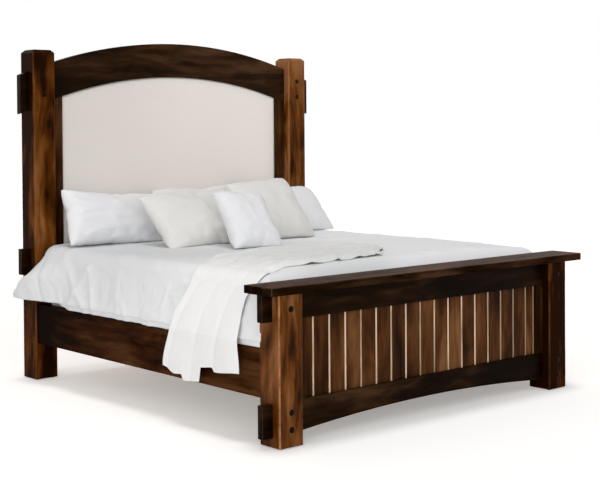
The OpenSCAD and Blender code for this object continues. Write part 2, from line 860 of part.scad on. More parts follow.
module rounded(x, y, r) {
  translate([r, r]) square([x - 2 * r, y - 2 * r]);
  for (a = [r, x - r], b = [r, y - r]) translate([a, b]) circle(r);
  translate([0, r]) square([x, y - 2 * r]);
  translate([r, 0]) square([x - 2 * r, y]);
}

module soft_block(x, y, z, corner, edge) {
  intersection() {
    linear_extrude(z) rounded(x, y, corner);
    translate([0, y, 0]) rotate([90, 0, 0]) linear_extrude(y) rounded(x, z, edge);
    rotate([90, 0, 90]) linear_extrude(x) rounded(y, z, edge);
  }
}

// Two base halves lie side by side on the slats
module foundation(side) {
  half = mattress_w / 2;
  color([0.90, 0.89, 0.87]) on_side(side)
    translate([soft_gap, mattress_y0, slat_top])
      soft_block(half - soft_gap, mattress_l, foundation_h, base_corner, base_edge);
}

module mattress() {
  color([0.93, 0.92, 0.90])
    translate([-mattress_w / 2, mattress_y0, mattress_z])
      soft_block(mattress_w, mattress_l, mattress_h, mattress_corner, mattress_edge);
}

// Rise of the duvet's top: it swells towards the foot, and lies flat under the pillows
function puff(x, y) =
  duvet_crown * (1 - pow(min(1, abs(x) / duvet_flat), 4)) *
  smooth((puff_end_y - y) / puff_l) * smooth((y - mattress_y0 + duvet_tuck) / (3 * duvet_tuck));

// Waves of the hanging sides, from 0 to 1
function side_wave(y, side) =
  0.5 + 0.28 * sin(y * 1.5 + side * 70) + 0.22 * sin(y * 0.83 + side * 20);

// Point at share s of a hanging side, 0 at the mattress's edge and 1 at the hem.
// Near the headboard the side swings out past the post.
function side_point(s, y, side, off) =
  let (
    z = mix(duvet_side_z, duvet_hem, s),
    x = duvet_side_x + (duvet_side_z - z) * tan(duvet_slope),
    out = max(0, post_out + post_room - x),
    near = smooth((y - (head_face - swing_l)) / (swing_l - 20)),
    swing = out * near * smooth(s / duvet_side_s[flap_cols]),
    fold = duvet_fold * side_wave(y, side) * smooth(s / 0.8)
  )
  [side * (x + swing + fold + off * cos(duvet_slope)), y, z + off * sin(duvet_slope)];

// Point i across and j along the duvet. At the foot it turns down around the mattress
// by the angle b and thins, so its edge tucks in behind the cap.
function duvet_point(i, j, off) =
  let (
    side = i < duvet_cols / 2 ? -1 : 1,
    k = min(i, duvet_cols - i),
    q = max(0, 1 - j / tuck_rows),
    b = q * duvet_tuck,
    y = mix(duvet_yc, duvet_y1, max(0, j - tuck_rows) / (duvet_rows - tuck_rows)),
    thin = off * mix(1, duvet_thin, q),
    a = k < 6 ? duvet_turn * (6 - k) / 2 : 0,
    x = duvet_flat * min(1, (8 - k) / 2),
    t = thin * (duvet_t + (k < 6 ? 0 : (1 - q) * puff(x, y))),
    r = duvet_r * (k == 5 ? edge_bow : 1) + t,
    ry = duvet_r * (q > 0 ? tuck_bow : 1) + t
  )
  k < 4 ? side_point(duvet_side_s[k], y - duvet_r * sin(b), side, thin * duvet_t) :
  [side * (x + r * sin(a)), y - ry * sin(b), duvet_zc + (k < 6 ? min(r * cos(a), ry * cos(b)) : ry * cos(b))];

// Corner that hangs beside a headboard post, cut off on a slant
function flap_point(i, j, side, off) =
  let (
    t = j / flap_rows,
    y = duvet_y1 + t * flap_l,
    top = mix(flap_start_s, flap_end_s, (j - 1) / (flap_rows - 1)),
    s = mix(1, top, i / flap_cols),
    flare = flap_flare * sqrt(t)
  )
  side_point(s, y, side, off * duvet_t) + [side * flare, 0, 0];

module duvet() {
  nu = duvet_cols;
  nv = duvet_rows;
  main = (nu + 1) * (nv + 1);
  flap = (flap_cols + 1) * flap_rows;
  n = main + 2 * flap;
  function left(i, j) = j == 0 ? nv * (nu + 1) + i : main + (j - 1) * (flap_cols + 1) + i;
  function right(i, j) =
    j == 0 ? nv * (nu + 1) + nu - flap_cols + i : main + flap + (j - 1) * (flap_cols + 1) + i;
  function at(i, j) = j * (nu + 1) + i;
  function side_points(off) = concat(
    [for (j = [0:nv], i = [0:nu]) duvet_point(i, j, off)],
    [for (j = [1:flap_rows], i = [0:flap_cols]) flap_point(i, j, -1, off)],
    [for (j = [1:flap_rows], i = [0:flap_cols]) flap_point(flap_cols - i, j, 1, off)]
  );
  quads = concat(
    [for (j = [0:nv - 1], i = [0:nu - 1]) [at(i, j), at(i + 1, j), at(i + 1, j + 1), at(i, j + 1)]],
    [for (j = [0:flap_rows - 1], i = [0:flap_cols - 1])
      [left(i, j), left(i + 1, j), left(i + 1, j + 1), left(i, j + 1)]],
    [for (j = [0:flap_rows - 1], i = [0:flap_cols - 1])
      [right(i, j), right(i + 1, j), right(i + 1, j + 1), right(i, j + 1)]]
  );
  loop = concat(
    [for (i = [0:nu - 1]) at(i, 0)],
    [for (j = [0:nv - 1]) at(nu, j)],
    [for (j = [0:flap_rows - 1]) right(flap_cols, j)],
    [for (i = [flap_cols:-1:1]) right(i, flap_rows)],
    [for (j = [flap_rows:-1:1]) right(0, j)],
    [for (i = [nu - flap_cols:-1:flap_cols + 1]) at(i, nv)],
    [for (j = [0:flap_rows - 1]) left(flap_cols, j)],
    [for (i = [flap_cols:-1:1]) left(i, flap_rows)],
    [for (j = [flap_rows:-1:1]) left(0, j)],
    [for (j = [nv:-1:1]) at(0, j)]
  );
  m = len(loop);
  color([0.93, 0.93, 0.94]) polyhedron(
    points = concat(side_points(1), side_points(0)),
    faces = concat(
      [for (q = quads) [q[0], q[3], q[2]]],
      [for (q = quads) [q[0], q[2], q[1]]],
      [for (q = quads) [n + q[0], n + q[2], n + q[3]]],
      [for (q = quads) [n + q[0], n + q[1], n + q[2]]],
      [for (k = [0:m - 1]) [loop[k], loop[(k + 1) % m], n + loop[(k + 1) % m]]],
      [for (k = [0:m - 1]) [loop[k], n + loop[(k + 1) % m], n + loop[k]]]
    )
  );
}

// Throw: it lies across the duvet and hangs down the left side to below the rail's top.
// Its two edges along the run r: -1 at the hem, 0 at the bed's edge, 1 at its end on top.
function throw_near(r) =
  r < 0 ? mix(throw_y0, throw_hem_y0, -r) : mix(throw_y0, throw_top_y0, smooth(r * 1.5));
function throw_far(r) =
  r < 0 ? mix(throw_y1, throw_hem_y1, pow(-r, 0.8)) :
  mix(throw_y1, throw_top_y1, sin(90 * min(1, 1.9 * r)));

function throw_wave(v, r) =
  0.5 + 0.30 * sin(v * 1150 + r * 60) + 0.20 * sin(v * 640 + 100 - r * 90);

// The hem steps down from the near part to the far part
function throw_hem(v) =
  mix(
    mix(throw_hem_near, throw_hem_near - 26, v / 0.38),
    mix(throw_hem_far, throw_hem_far + 28, (v - 0.5) * 2),
    smooth((v - 0.35) / 0.12)
  );

// Row j: 0 at the hem, throw_side_rows at the duvet's shoulder, the last at the end on top
function throw_point(i, j, off) =
  let (
    v = i / throw_cols,
    s = 1 - j / throw_side_rows,
    arc = (j - throw_side_rows) / throw_arc_rows,
    t = (j - throw_side_rows - throw_arc_rows) / throw_top_rows,
    r = s > 0 ? -s : max(0, t),
    y = mix(throw_near(r), throw_far(r), v),
    wave = throw_wave(v, r),
    shoulder = duvet_r + duvet_t + 2 * soft_gap
  )
  s >= 0 ?
    let (
      z = mix(throw_side_z, throw_hem(v), s),
      drop = min(throw_side_z - z, duvet_side_z - duvet_hem),
      hug = duvet_side_x + drop * tan(duvet_slope) + duvet_t * cos(duvet_slope),
      room = duvet_fold * smooth(drop / (duvet_side_z - duvet_hem) / 0.8) + 2 * soft_gap,
      fold = throw_fold * wave * smooth(s / 0.5)
    )
    [-(hug + room + fold + off * cos(duvet_slope)), y, z + off * sin(duvet_slope)] :
  arc < 1 ?
    let (a = duvet_turn * (1 - arc), r2 = shoulder + (arc > 0 ? duvet_r * (edge_bow - 1) : 0) + off)
    [-(duvet_flat + r2 * sin(a)), y, duvet_zc + r2 * cos(a)] :
  let (
    end_x = throw_end_x - throw_end_cut * (1 - smooth(v * 3)),
    x = mix(-duvet_flat, end_x, t),
    lift = 4 * soft_gap * min(1, 8 * t) + 0.8 * throw_fold * wave * smooth(t * 6)
  )
  [x, y, duvet_zc + shoulder + puff(x, y) + lift + off];

module throw() {
  color([0.90, 0.90, 0.88]) skin(
    [for (j = [0:throw_rows], i = [0:throw_cols]) throw_point(i, j, throw_t)],
    [for (j = [0:throw_rows], i = [0:throw_cols]) throw_point(i, j, 0)],
    throw_cols, throw_rows
  );
}

// How far a point moves back from a limit that it is the distance d past. It ends just
// short of the limit, and deeper points stay a little deeper, so no two points meet.
function press(d, gap) = d > -gap ? (1 - press_share) * (d + gap) : 0;

// A pillow keeps behind each of its planes: [unit normal, distance]. Points move level.
function pressed(p, planes, k) =
  k == len(planes) ? p :
  let (n = planes[k][0], level = [n[0], n[1], 0])
  pressed(p - level * press(p * n - planes[k][1], plane_gap) / (level * n), planes, k + 1);

function above_duvet(p) =
  p + [0, 0, press(bed_z + soft_gap + puff(p[0], p[1]) - p[2], rest_gap)];

// Planes between pillows, each by its place on the bed and its lean
function in_front_of(y, lean) =
  [[0, cos(lean), -sin(lean)], y * cos(lean) - bed_z * sin(lean) - soft_gap / 2];
function behind(y, lean) =
  [[0, -cos(lean), sin(lean)], -y * cos(lean) + bed_z * sin(lean) - soft_gap / 2];
function left_of(x) = [[1, 0, 0], x - soft_gap / 2];
function right_of(x) = [[-1, 0, 0], -x - soft_gap / 2];
function before(y) = [[0, 1, 0], y - soft_gap];

// Places of the grid lines from -1 to 1, closer together near the sides
function even_out(t) = mix(t, sin(90 * t), 0.55);

// Crowned form with drawn-in sides. size is width, height and thickness, pose is turn,
// lean and roll, at is the middle of its bottom edge.
function pillow_point(i, j, face, size, pose, at, planes) =
  let (
    u = even_out(2 * i / pillow_cols - 1),
    v = even_out(2 * j / pillow_rows - 1),
    a0 = size[0] / 2 * u * (1 - pillow_pinch * (1 - v * v) * pow(abs(u), 3)),
    b0 = size[1] / 2 * (1 + v * (1 - pillow_pinch * (1 - u * u) * pow(abs(v), 3))),
    a = a0 * cos(pose[2]) - b0 * sin(pose[2]),
    b = a0 * sin(pose[2]) + b0 * cos(pose[2]),
    half = pow((1 - pow(u, 4)) * (1 - pow(v, 4)), 0.55) * size[2] / 2 + pillow_seam / 2,
    along = [cos(pose[0]), sin(pose[0]), 0],
    back = [-sin(pose[0]), cos(pose[0]), 0],
    up = [0, 0, 1],
    rise = cos(pose[1]) * up + sin(pose[1]) * back,
    out = sin(pose[1]) * up - cos(pose[1]) * back,
    p = at + a * along + b * rise + face * half * out
  )
  pressed(above_duvet(p), planes, 0);

// share is the pillow's width, height and thickness beside the largest ones
module pillow(share, pose, x, y, planes) {
  at = [x, y, bed_z - pillow_sink];
  size = [share[0] * pillow_w, share[1] * pillow_h, share[2] * pillow_t];
  color([0.92, 0.92, 0.92]) skin(
    [for (j = [0:pillow_rows], i = [0:pillow_cols]) pillow_point(i, j, 1, size, pose, at, planes)],
    [for (j = [0:pillow_rows], i = [0:pillow_cols]) pillow_point(i, j, -1, size, pose, at, planes)],
    pillow_cols, pillow_rows
  );
}

module pillow_back_left() {
  pillow([0.983, 0.778, 1], [2, 25, -5], -0.663 * duvet_flat, row1_y, [
    before(head_face), left_of(back_split_left), behind(row_split_left, 35)
  ]);
}

module pillow_back_centre() {
  pillow([1, 0.862, 0.9], [1, 36, 1], 0.126 * duvet_flat, row1_y + 0.0049 * mattress_l, [
    before(head_rail_y + pad_recess - pad_crown), right_of(back_split_left),
    left_of(back_split_right), behind(row_split_left, 35)
  ]);
}

module pillow_back_right() {
  pillow([0.928, 0.869, 0.9], [1, 44, 0], 0.772 * duvet_flat, row1_y - 0.0463 * mattress_l, [
    before(head_face), right_of(back_split_right), behind(row_split_right, 42)
  ]);
}

module pillow_front_left() {
  pillow([0.954, 0.993, 0.95], [4, 50, 0], -0.223 * duvet_flat, row2_y, [
    in_front_of(row_split_left, 35), left_of(front_split), behind(row_split_front, 42)
  ]);
}

module pillow_front_right() {
  pillow([0.809, 1, 1], [6, 40, 3], 0.306 * duvet_flat, row2_y - 0.0133 * mattress_l, [
    in_front_of(row_split_right, 42), right_of(front_split), behind(row_split_front, 42)
  ]);
}

module pillow_front_centre() {
  pillow([0.491, 0.922, 0.75], [0, 44, -5], -0.155 * duvet_flat, row3_y, [
    in_front_of(row_split_front, 42)
  ]);
}

head_post(-1);  // head_post_left
head_post(1);  // head_post_right
arch_rail();
head_lower_rail();
head_stile(-1);  // head_stile_left
head_stile(1);  // head_stile_right
head_pad_board();
head_back_panel();
head_pegs();
foot_post(-1);  // foot_post_left
foot_post(1);  // foot_post_right
foot_top_rail();
foot_bottom_rail();
foot_stile(-1);  // foot_stile_left
foot_stile(1);  // foot_stile_right
foot_plank(0);  // foot_plank_01
foot_plank(1);  // foot_plank_02
foot_plank(2);  // foot_plank_03
foot_plank(3);  // foot_plank_04
foot_plank(4);  // foot_plank_05
foot_plank(5);  // foot_plank_06
foot_plank(6);  // foot_plank_07
foot_plank(7);  // foot_plank_08
foot_plank(8);  // foot_plank_09
foot_plank(9);  // foot_plank_10
foot_plank(10);  // foot_plank_11
foot_plank(11);  // foot_plank_12
foot_plank(12);  // foot_plank_13
foot_plank(13);  // foot_plank_14
foot_plank(14);  // foot_plank_15
foot_plank(15);  // foot_plank_16
foot_plank(16);  // foot_plank_17
foot_strips();
foot_cap();
foot_pegs();
post_glides();
side_rail(-1);  // side_rail_left
side_rail(1);  // side_rail_right
rail_cleats();
rail_hook_plates();
post_hook_plates();
wood_screws();
slats();
centre_beam();
centre_leg(-leg_y);  // centre_leg_front
centre_leg(leg_y);  // centre_leg_rear
leveller(-leg_y);  // leveller_front
leveller(leg_y);  // leveller_rear
head_upholstery();
foundation(-1);  // foundation_left
foundation(1);  // foundation_right
mattress();
duvet();
throw();
pillow_back_left();
pillow_back_centre();
pillow_back_right();
pillow_front_left();
pillow_front_centre();
pillow_front_right();
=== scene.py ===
# Timber bed with an upholstered headboard, dressed with a duvet, six pillows and a throw.
# Lengths are in metres and angles in degrees. X runs along the footboard and Y from foot to head.
import bpy
import bmesh
import math
from mathutils import Matrix, Vector, noise


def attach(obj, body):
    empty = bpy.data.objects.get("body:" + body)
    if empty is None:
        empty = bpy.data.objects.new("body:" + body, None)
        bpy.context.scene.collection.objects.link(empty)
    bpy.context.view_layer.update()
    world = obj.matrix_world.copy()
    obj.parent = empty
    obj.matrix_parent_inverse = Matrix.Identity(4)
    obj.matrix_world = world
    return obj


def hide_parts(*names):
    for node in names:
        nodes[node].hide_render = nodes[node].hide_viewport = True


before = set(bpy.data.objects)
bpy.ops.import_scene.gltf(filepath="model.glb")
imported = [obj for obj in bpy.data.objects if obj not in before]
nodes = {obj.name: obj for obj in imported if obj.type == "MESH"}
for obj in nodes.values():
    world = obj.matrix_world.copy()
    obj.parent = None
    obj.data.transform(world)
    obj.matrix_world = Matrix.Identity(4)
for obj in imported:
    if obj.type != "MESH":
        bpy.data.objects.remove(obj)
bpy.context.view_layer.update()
scene = bpy.context.scene


def smooth(t):
    c = min(1.0, max(0.0, t))
    return c * c * (3 - 2 * c)


def mix(a, b, t):
    return a + (b - a) * t


def wave(angle):
    return math.sin(math.radians(angle))


def addNode(tree, kind, inputs=None, **settings):
    made = tree.nodes.new(kind if kind.startswith("NodeGroup") else "ShaderNode" + kind)
    for name, value in settings.items():
        setattr(made, name, value)
    for key, value in (inputs or {}).items():
        if isinstance(value, bpy.types.NodeSocket):
            tree.links.new(value, made.inputs[key])
        else:
            made.inputs[key].default_value = value
    return made


def calc(tree, operation, a, b=0.0, c=0.0, clamp=False):
    return addNode(tree, "Math", {0: a, 1: b, 2: c}, operation=operation, use_clamp=clamp).outputs[0]


def vectorCalc(tree, operation, a, b=(0, 0, 0)):
    second = "Scale" if operation == "SCALE" else 1
    made = addNode(tree, "VectorMath", {0: a, second: b}, operation=operation)
    return made.outputs["Value" if operation in ("DISTANCE", "DOT_PRODUCT") else "Vector"]


def split(tree, vector):
    return addNode(tree, "SeparateXYZ", {0: vector}).outputs[:]


def remap(tree, value, low, high, toLow=0.0, toHigh=1.0):
    ends = {"Value": value, "From Min": low, "From Max": high, "To Min": toLow, "To Max": toHigh}
    return addNode(tree, "MapRange", ends, interpolation_type="SMOOTHSTEP").outputs["Result"]


def stretch(tree, vector, scale):
    return addNode(tree, "Mapping", {"Vector": vector, "Scale": scale}).outputs["Vector"]


def noiseValue(tree, vector, scale, detail, roughness, distortion=0.0):
    made = addNode(tree, "TexNoise", {
        "Vector": vector, "Scale": scale, "Detail": detail, "Roughness": roughness, "Distortion": distortion})
    return made.outputs["Fac"]


def ramp(tree, value, stops):
    made = addNode(tree, "ValToRGB", {"Fac": value})
    band = made.color_ramp
    while len(band.elements) < len(stops):
        band.elements.new(0.5)
    for element, (place, colour) in zip(band.elements, stops):
        element.position = place
        element.color = (*colour, 1)
    return made.outputs["Color"]


def blendColour(tree, share, a, b, kind="MIX"):
    made = addNode(tree, "Mix", {0: share}, data_type="RGBA", blend_type=kind)
    for index, value in ((6, a), (7, b)):
        if isinstance(value, bpy.types.NodeSocket):
            tree.links.new(value, made.inputs[index])
        else:
            made.inputs[index].default_value = (*value, 1)
    return made.outputs[2]


def newGroup(name, inputs, outputs):
    tree = bpy.data.node_groups.new(name, "ShaderNodeTree")
    for title, kind in inputs:
        tree.interface.new_socket(name=title, in_out="INPUT", socket_type=kind)
    for title in outputs:
        tree.interface.new_socket(name=title, in_out="OUTPUT", socket_type="NodeSocketFloat")
    return tree, addNode(tree, "NodeGroupInput"), addNode(tree, "NodeGroupOutput")


# Noises of the timber: stretch along the grain, scale, detail, roughness and distortion
timberNoise = {
    "streaks": (0.11, 17.0, 6.0, 0.6), "broad": (0.34, 5.0, 3.0, 0.55, 0.6),
    "stainAndShade": (0.2, 7.0, 3.0, 0.6, 0.4), "contour": (0.1, 5.2, 1.0, 0.4), "fibre": (0.018, 330.0, 3.0, 0.6),
}
# Knots and rings, then the middle tone and how far each mark moves it
timberFigure = {
    "drift": 0.07, "knotStretch": 0.36, "knotScale": 4.3, "knotSize": (0.15, 0.05), "knotReach": 0.52,
    "rings": 74.0, "ringsAtKnots": 15.0,
    "middle": 0.52, "streaks": 1.35, "broad": 1.9, "growth": 0.1, "stainAndShade": -0.32, "bend": -0.3, "knot": -0.55,
}


# Timber with its grain along Z: long streaks, growth lines, knots and fine fibres
def makeTimberGroup():
    look = timberFigure
    tree, given, result = newGroup(
        "timberFigure", [("Vector", "NodeSocketVector"), ("Knots", "NodeSocketFloat")],
        ["Tone", "Fibre", "Growth"])
    place = given.outputs["Vector"]
    drift = addNode(tree, "TexNoise", {"Vector": place, "Scale": 2.6, "Detail": 2.0})
    centred = vectorCalc(tree, "SUBTRACT", drift.outputs["Color"], (0.5, 0.5, 0.5))
    moved = vectorCalc(tree, "ADD", place, vectorCalc(tree, "SCALE", centred, look["drift"]))
    marks = {}
    for name, (share, *rest) in timberNoise.items():
        marks[name] = noiseValue(tree, stretch(tree, moved, (1.0, 1.0, share)), *rest)
    marks["stainAndShade"] = remap(tree, marks["stainAndShade"], 0.58, 0.74)
    cell = addNode(tree, "TexVoronoi", {
        "Vector": stretch(tree, moved, (1.0, 1.0, look["knotStretch"])), "Scale": look["knotScale"]})
    parts = addNode(tree, "SeparateColor", {0: cell.outputs["Color"]})
    chosen = calc(tree, "LESS_THAN", parts.outputs[0], given.outputs["Knots"])
    for name, ends in (("knot", look["knotSize"]), ("bend", (look["knotReach"], 0.0))):
        marks[name] = calc(tree, "MULTIPLY", remap(tree, cell.outputs["Distance"], *ends), chosen)
    phase = calc(tree, "ADD", calc(tree, "MULTIPLY", marks["contour"], look["rings"]),
                 calc(tree, "MULTIPLY", marks["bend"], look["ringsAtKnots"]))
    marks["growth"] = calc(tree, "MULTIPLY_ADD", calc(tree, "SINE", phase), 0.5, 0.5)
    tone = look["middle"]
    for name in ("streaks", "broad", "growth"):
        tone = calc(tree, "MULTIPLY_ADD", calc(tree, "SUBTRACT", marks[name], 0.5), look[name], tone)
    for name in ("stainAndShade", "bend", "knot"):
        tone = calc(tree, "MULTIPLY_ADD", marks[name], look[name], tone)
    for title, value in (("Tone", tone), ("Fibre", marks["fibre"]), ("Growth", marks["growth"])):
        tree.links.new(value, result.inputs[title])
    return tree


# Where an upright face is turned halfway between two axes: the eased upright edges, where the timber gets a
# painted highlight
def makeEdgeHighlightGroup():
    tree, given, result = newGroup("easedEdgeHighlight", [], ["Edge"])
    x, y, z = split(tree, vectorCalc(tree, "ABSOLUTE", addNode(tree, "NewGeometry").outputs["Normal"]))
    most = calc(tree, "MAXIMUM", calc(tree, "MAXIMUM", x, y), z)
    upright = remap(tree, z, 0.3, 0.12)
    edge = calc(tree, "MULTIPLY", remap(tree, most, 0.93, 0.78), upright)
    tree.links.new(edge, result.inputs["Edge"])
    return tree


# Plain weave: two sets of crossed threads with a slight slub
def makeWeaveGroup():
    tree, given, result = newGroup(
        "plainWeave", [("Vector", "NodeSocketVector"), ("Threads", "NodeSocketFloat")], ["Height", "Slub"])
    place = given.outputs["Vector"]
    turned = calc(tree, "MULTIPLY", given.outputs["Threads"], 6.2832)
    x, y, z = split(tree, place)
    warp = calc(tree, "SINE", calc(tree, "MULTIPLY", calc(tree, "ADD", x, y), turned))
    weft = calc(tree, "SINE", calc(tree, "MULTIPLY", z, turned))
    height = calc(tree, "MULTIPLY_ADD", calc(tree, "MULTIPLY", warp, weft), 0.5, 0.5)
    slubs = [noiseValue(tree, stretch(tree, place, scale), 34.0, 3.0, 0.7)
             for scale in ((1.0, 1.0, 14.0), (14.0, 14.0, 1.0))]
    slub = calc(tree, "MULTIPLY", calc(tree, "ADD", *slubs), 0.5)
    tree.links.new(height, result.inputs["Height"])
    tree.links.new(slub, result.inputs["Slub"])
    return tree


timberGroup = makeTimberGroup()
edgeHighlightGroup = makeEdgeHighlightGroup()
weaveGroup = makeWeaveGroup()


def newMaterial(name, roughness, settings=None):
    material = bpy.data.materials.new(name)
    material.use_nodes = True
    tree = material.node_tree
    shader = tree.nodes["Principled BSDF"]
    shader.inputs["Roughness"].default_value = roughness
    for key, value in (settings or {}).items():
        shader.inputs[key].default_value = value
    coords = addNode(tree, "TexCoord").outputs["Object"]
    return material, tree, shader, coords


def paint(material, names):
    for name in names:
        piece = nodes[name]
        if not piece.material_slots:
            piece.data.materials.append(material)
        for slot in piece.material_slots:
            slot.material = material


# Links what a material ends with
def dress(tree, shader, colour, rough, height, strength, distance):
    bump = addNode(tree, "Bump", {"Height": height, "Strength": strength, "Distance": distance})
    for key, value in (("Base Color", colour), ("Roughness", rough), ("Normal", bump.outputs[0])):
        tree.links.new(value, shader.inputs[key])


planks = {"half": 0.8515, "edge": 0.0715, "count": 17, "seed": 11.37, "jump": 9.0, "lift": 0.24}


# Each plank has its own figure, a little lighter or darker than the next
def plankPlace(tree, coords, place):
    reach = planks["half"] - planks["edge"]
    pitch = 2 * reach / (planks["count"] - 2)
    step = calc(tree, "FLOOR", calc(tree, "MULTIPLY_ADD", split(tree, coords)[0], 1 / pitch, reach / pitch))
    seed = calc(tree, "ADD", step, planks["seed"])
    chance = addNode(tree, "TexWhiteNoise", {"W": seed}, noise_dimensions="1D")
    moved = vectorCalc(tree, "ADD", place, vectorCalc(tree, "SCALE", chance.outputs["Color"], planks["jump"]))
    return moved, calc(tree, "MULTIPLY_ADD", chance.outputs["Value"], planks["lift"], -planks["lift"] / 2)


# Change of tone along an axis, partly stain and partly painted shade and light. A face is (axis, inside,
# surface), and a change kept to one face paints that face lighter or darker as light falls on it.
def toneAndShadeChange(tree, coords, axis, stops, face):
    low, high = stops[0][0], stops[-1][0]
    places = dict(zip("xyz", split(tree, coords)))
    share = addNode(tree, "MapRange", {
        "Value": places[axis], "From Min": low, "From Max": high}).outputs["Result"]
    grey = ramp(tree, share, [((at - low) / (high - low), (0.5 + by,) * 3) for at, by in stops])
    change = calc(tree, "SUBTRACT", grey, 0.5)
    for side, inside, surface in face:
        change = calc(tree, "MULTIPLY", change, remap(tree, places[side], inside, surface))
    return change


tonePlaces = (0.1, 0.34, 0.58, 0.98)
grainTurn = {"x": (0, math.radians(90), 0), "y": (math.radians(90), 0, 0), "z": (0, 0, 0)}


def paintTimber(name, paints, tones, gloss, grain="z", roughness=0.34, knots=0.4, edge=0.15, coat=0.015,
                contrast=1.0, shift=(0, 0, 0), stainAndShade=(), byPlank=False):
    material, tree, shader, coords = newMaterial(name, roughness, {
        "Coat Weight": coat, "Coat Roughness": 0.2, "Specular IOR Level": gloss,
        "Specular Tint": (1.0, 0.66, 0.44, 1)})
    place = addNode(tree, "Mapping", {
        "Vector": coords, "Rotation": grainTurn[grain], "Location": shift}).outputs["Vector"]
    lift = 0.0
    if byPlank:
        place, lift = plankPlace(tree, coords, place)
    figure = addNode(tree, "Group", {"Vector": place, "Knots": knots}, node_tree=timberGroup)
    tone = calc(tree, "SUBTRACT", figure.outputs["Tone"], 0.5)
    tone = calc(tree, "ADD", calc(tree, "MULTIPLY_ADD", tone, contrast, 0.5), lift)
    for axis, stops, *face in stainAndShade:
        tone = calc(tree, "ADD", tone, toneAndShadeChange(tree, coords, axis, stops, face))
    colour = ramp(tree, tone, list(zip(tonePlaces, tones)))
    fibre = figure.outputs["Fibre"]
    pores = remap(tree, fibre, 0.36, 0.52, 0.8, 1.0)
    poreGrey = addNode(tree, "CombineColor", {0: pores, 1: pores, 2: pores}).outputs[0]
    colour = blendColour(tree, 1.0, colour, poreGrey, "MULTIPLY")
    # Painted highlight: a paler tone in patches along the eased upright edges, as strong as the timber's edge
    # value.
    highlightMask = addNode(tree, "Group", node_tree=edgeHighlightGroup).outputs["Edge"]
    patchy = remap(tree, noiseValue(tree, coords, 9.0, 4.0, 0.7), 0.32, 0.66, 0.25, 1.0)
    share = calc(tree, "MULTIPLY", calc(tree, "MULTIPLY", highlightMask, patchy), edge)
    highlightTone = tuple(min(1.0, 1.6 * c + 0.02) for c in tones[-1])
    colour = blendColour(tree, share, colour, highlightTone)
    rough = remap(tree, fibre, 0.3, 0.7, roughness + 0.1, roughness - 0.05)
    height = calc(tree, "MULTIPLY_ADD", figure.outputs["Growth"], 0.25, fibre)
    dress(tree, shader, colour, rough, height, 0.16, 0.0012)
    paint(material, paints)


# Woven cloth in two tones, with painted shade. paintedShade is a list of spheres of painted shade, each (middle,
# full radius, outer radius, amount).
def clothMaterial(name, colour, deep, threads, roughness, sheen, slub=0.5, bump=0.2, distance=0.0006,
                  paintedShade=()):
    material, tree, shader, coords = newMaterial(name, roughness, {
        "Sheen Weight": sheen, "Sheen Roughness": 0.5, "Specular IOR Level": 0.25})
    weave = addNode(tree, "Group", {"Vector": coords, "Threads": threads}, node_tree=weaveGroup)
    soft = noiseValue(tree, coords, 3.2, 3.0, 0.55)
    share = calc(tree, "MULTIPLY_ADD", remap(tree, weave.outputs["Slub"], 0.38, 0.62), slub,
                 calc(tree, "MULTIPLY", soft, 0.35), clamp=True)
    dyedAndShaded = blendColour(tree, share, colour, deep)
    # Painted shade: inside each sphere the cloth is darkened towards this shadow tone.
    shadow = tuple(0.75 * c for c in deep)
    for middle, full, outside, amount in paintedShade:
        gap = vectorCalc(tree, "DISTANCE", coords, middle)
        dyedAndShaded = blendColour(tree, remap(tree, gap, outside, full, 0.0, amount), dyedAndShaded, shadow)
    rough = calc(tree, "MULTIPLY_ADD", weave.outputs["Height"], -0.08, roughness + 0.04)
    height = calc(tree, "MULTIPLY_ADD", weave.outputs["Slub"], 1.6,
                  calc(tree, "MULTIPLY", weave.outputs["Height"], 0.5))
    dress(tree, shader, dyedAndShaded, rough, height, bump, distance)
    return material


def paintMetal(name, paints, colour, roughness):
    material, tree, shader, coords = newMaterial(name, roughness, {"Metallic": 1.0})
    brushed = noiseValue(tree, stretch(tree, coords, (1.0, 1.0, 40.0)), 60.0, 3.0, 0.6)
    both = blendColour(tree, brushed, colour, tuple(0.72 * c for c in colour))
    rough = remap(tree, brushed, 0.3, 0.7, roughness - 0.08, roughness + 0.12)
    dress(tree, shader, both, rough, brushed, 0.12, 0.0003)
    paint(material, paints)


def paintPlastic(name, paints, colour):
    material, tree, shader, coords = newMaterial(name, 0.5)
    speck = noiseValue(tree, coords, 420.0, 3.0, 0.6)
    both = blendColour(tree, speck, colour, tuple(1.5 * c + 0.01 for c in colour))
    dress(tree, shader, both, remap(tree, speck, 0.3, 0.7, 0.42, 0.62), speck, 0.1, 0.0003)
    paint(material, paints)


# Tones of woods that pieces share, from the darkest mark to the palest
postTones = [(0.015, 0.0036, 0.0004), (0.07, 0.019, 0.0022), (0.14, 0.044, 0.006), (0.28, 0.112, 0.04)]
railTones = [(0.0038, 0.0011, 0.0001), (0.0098, 0.0034, 0.0006), (0.023, 0.0094, 0.003), (0.064, 0.029, 0.012)]
stileTones = [(0.007, 0.0022, 0.0005), (0.019, 0.0062, 0.0014), (0.043, 0.0148, 0.004), (0.105, 0.042, 0.015)]
rawLook = {
    "tones": [(0.28, 0.17, 0.085), (0.38, 0.25, 0.13), (0.46, 0.31, 0.17), (0.6, 0.44, 0.27)],
    "roughness": 0.6, "gloss": 0.3, "knots": 0.26, "edge": 0.2, "coat": 0.0,
}
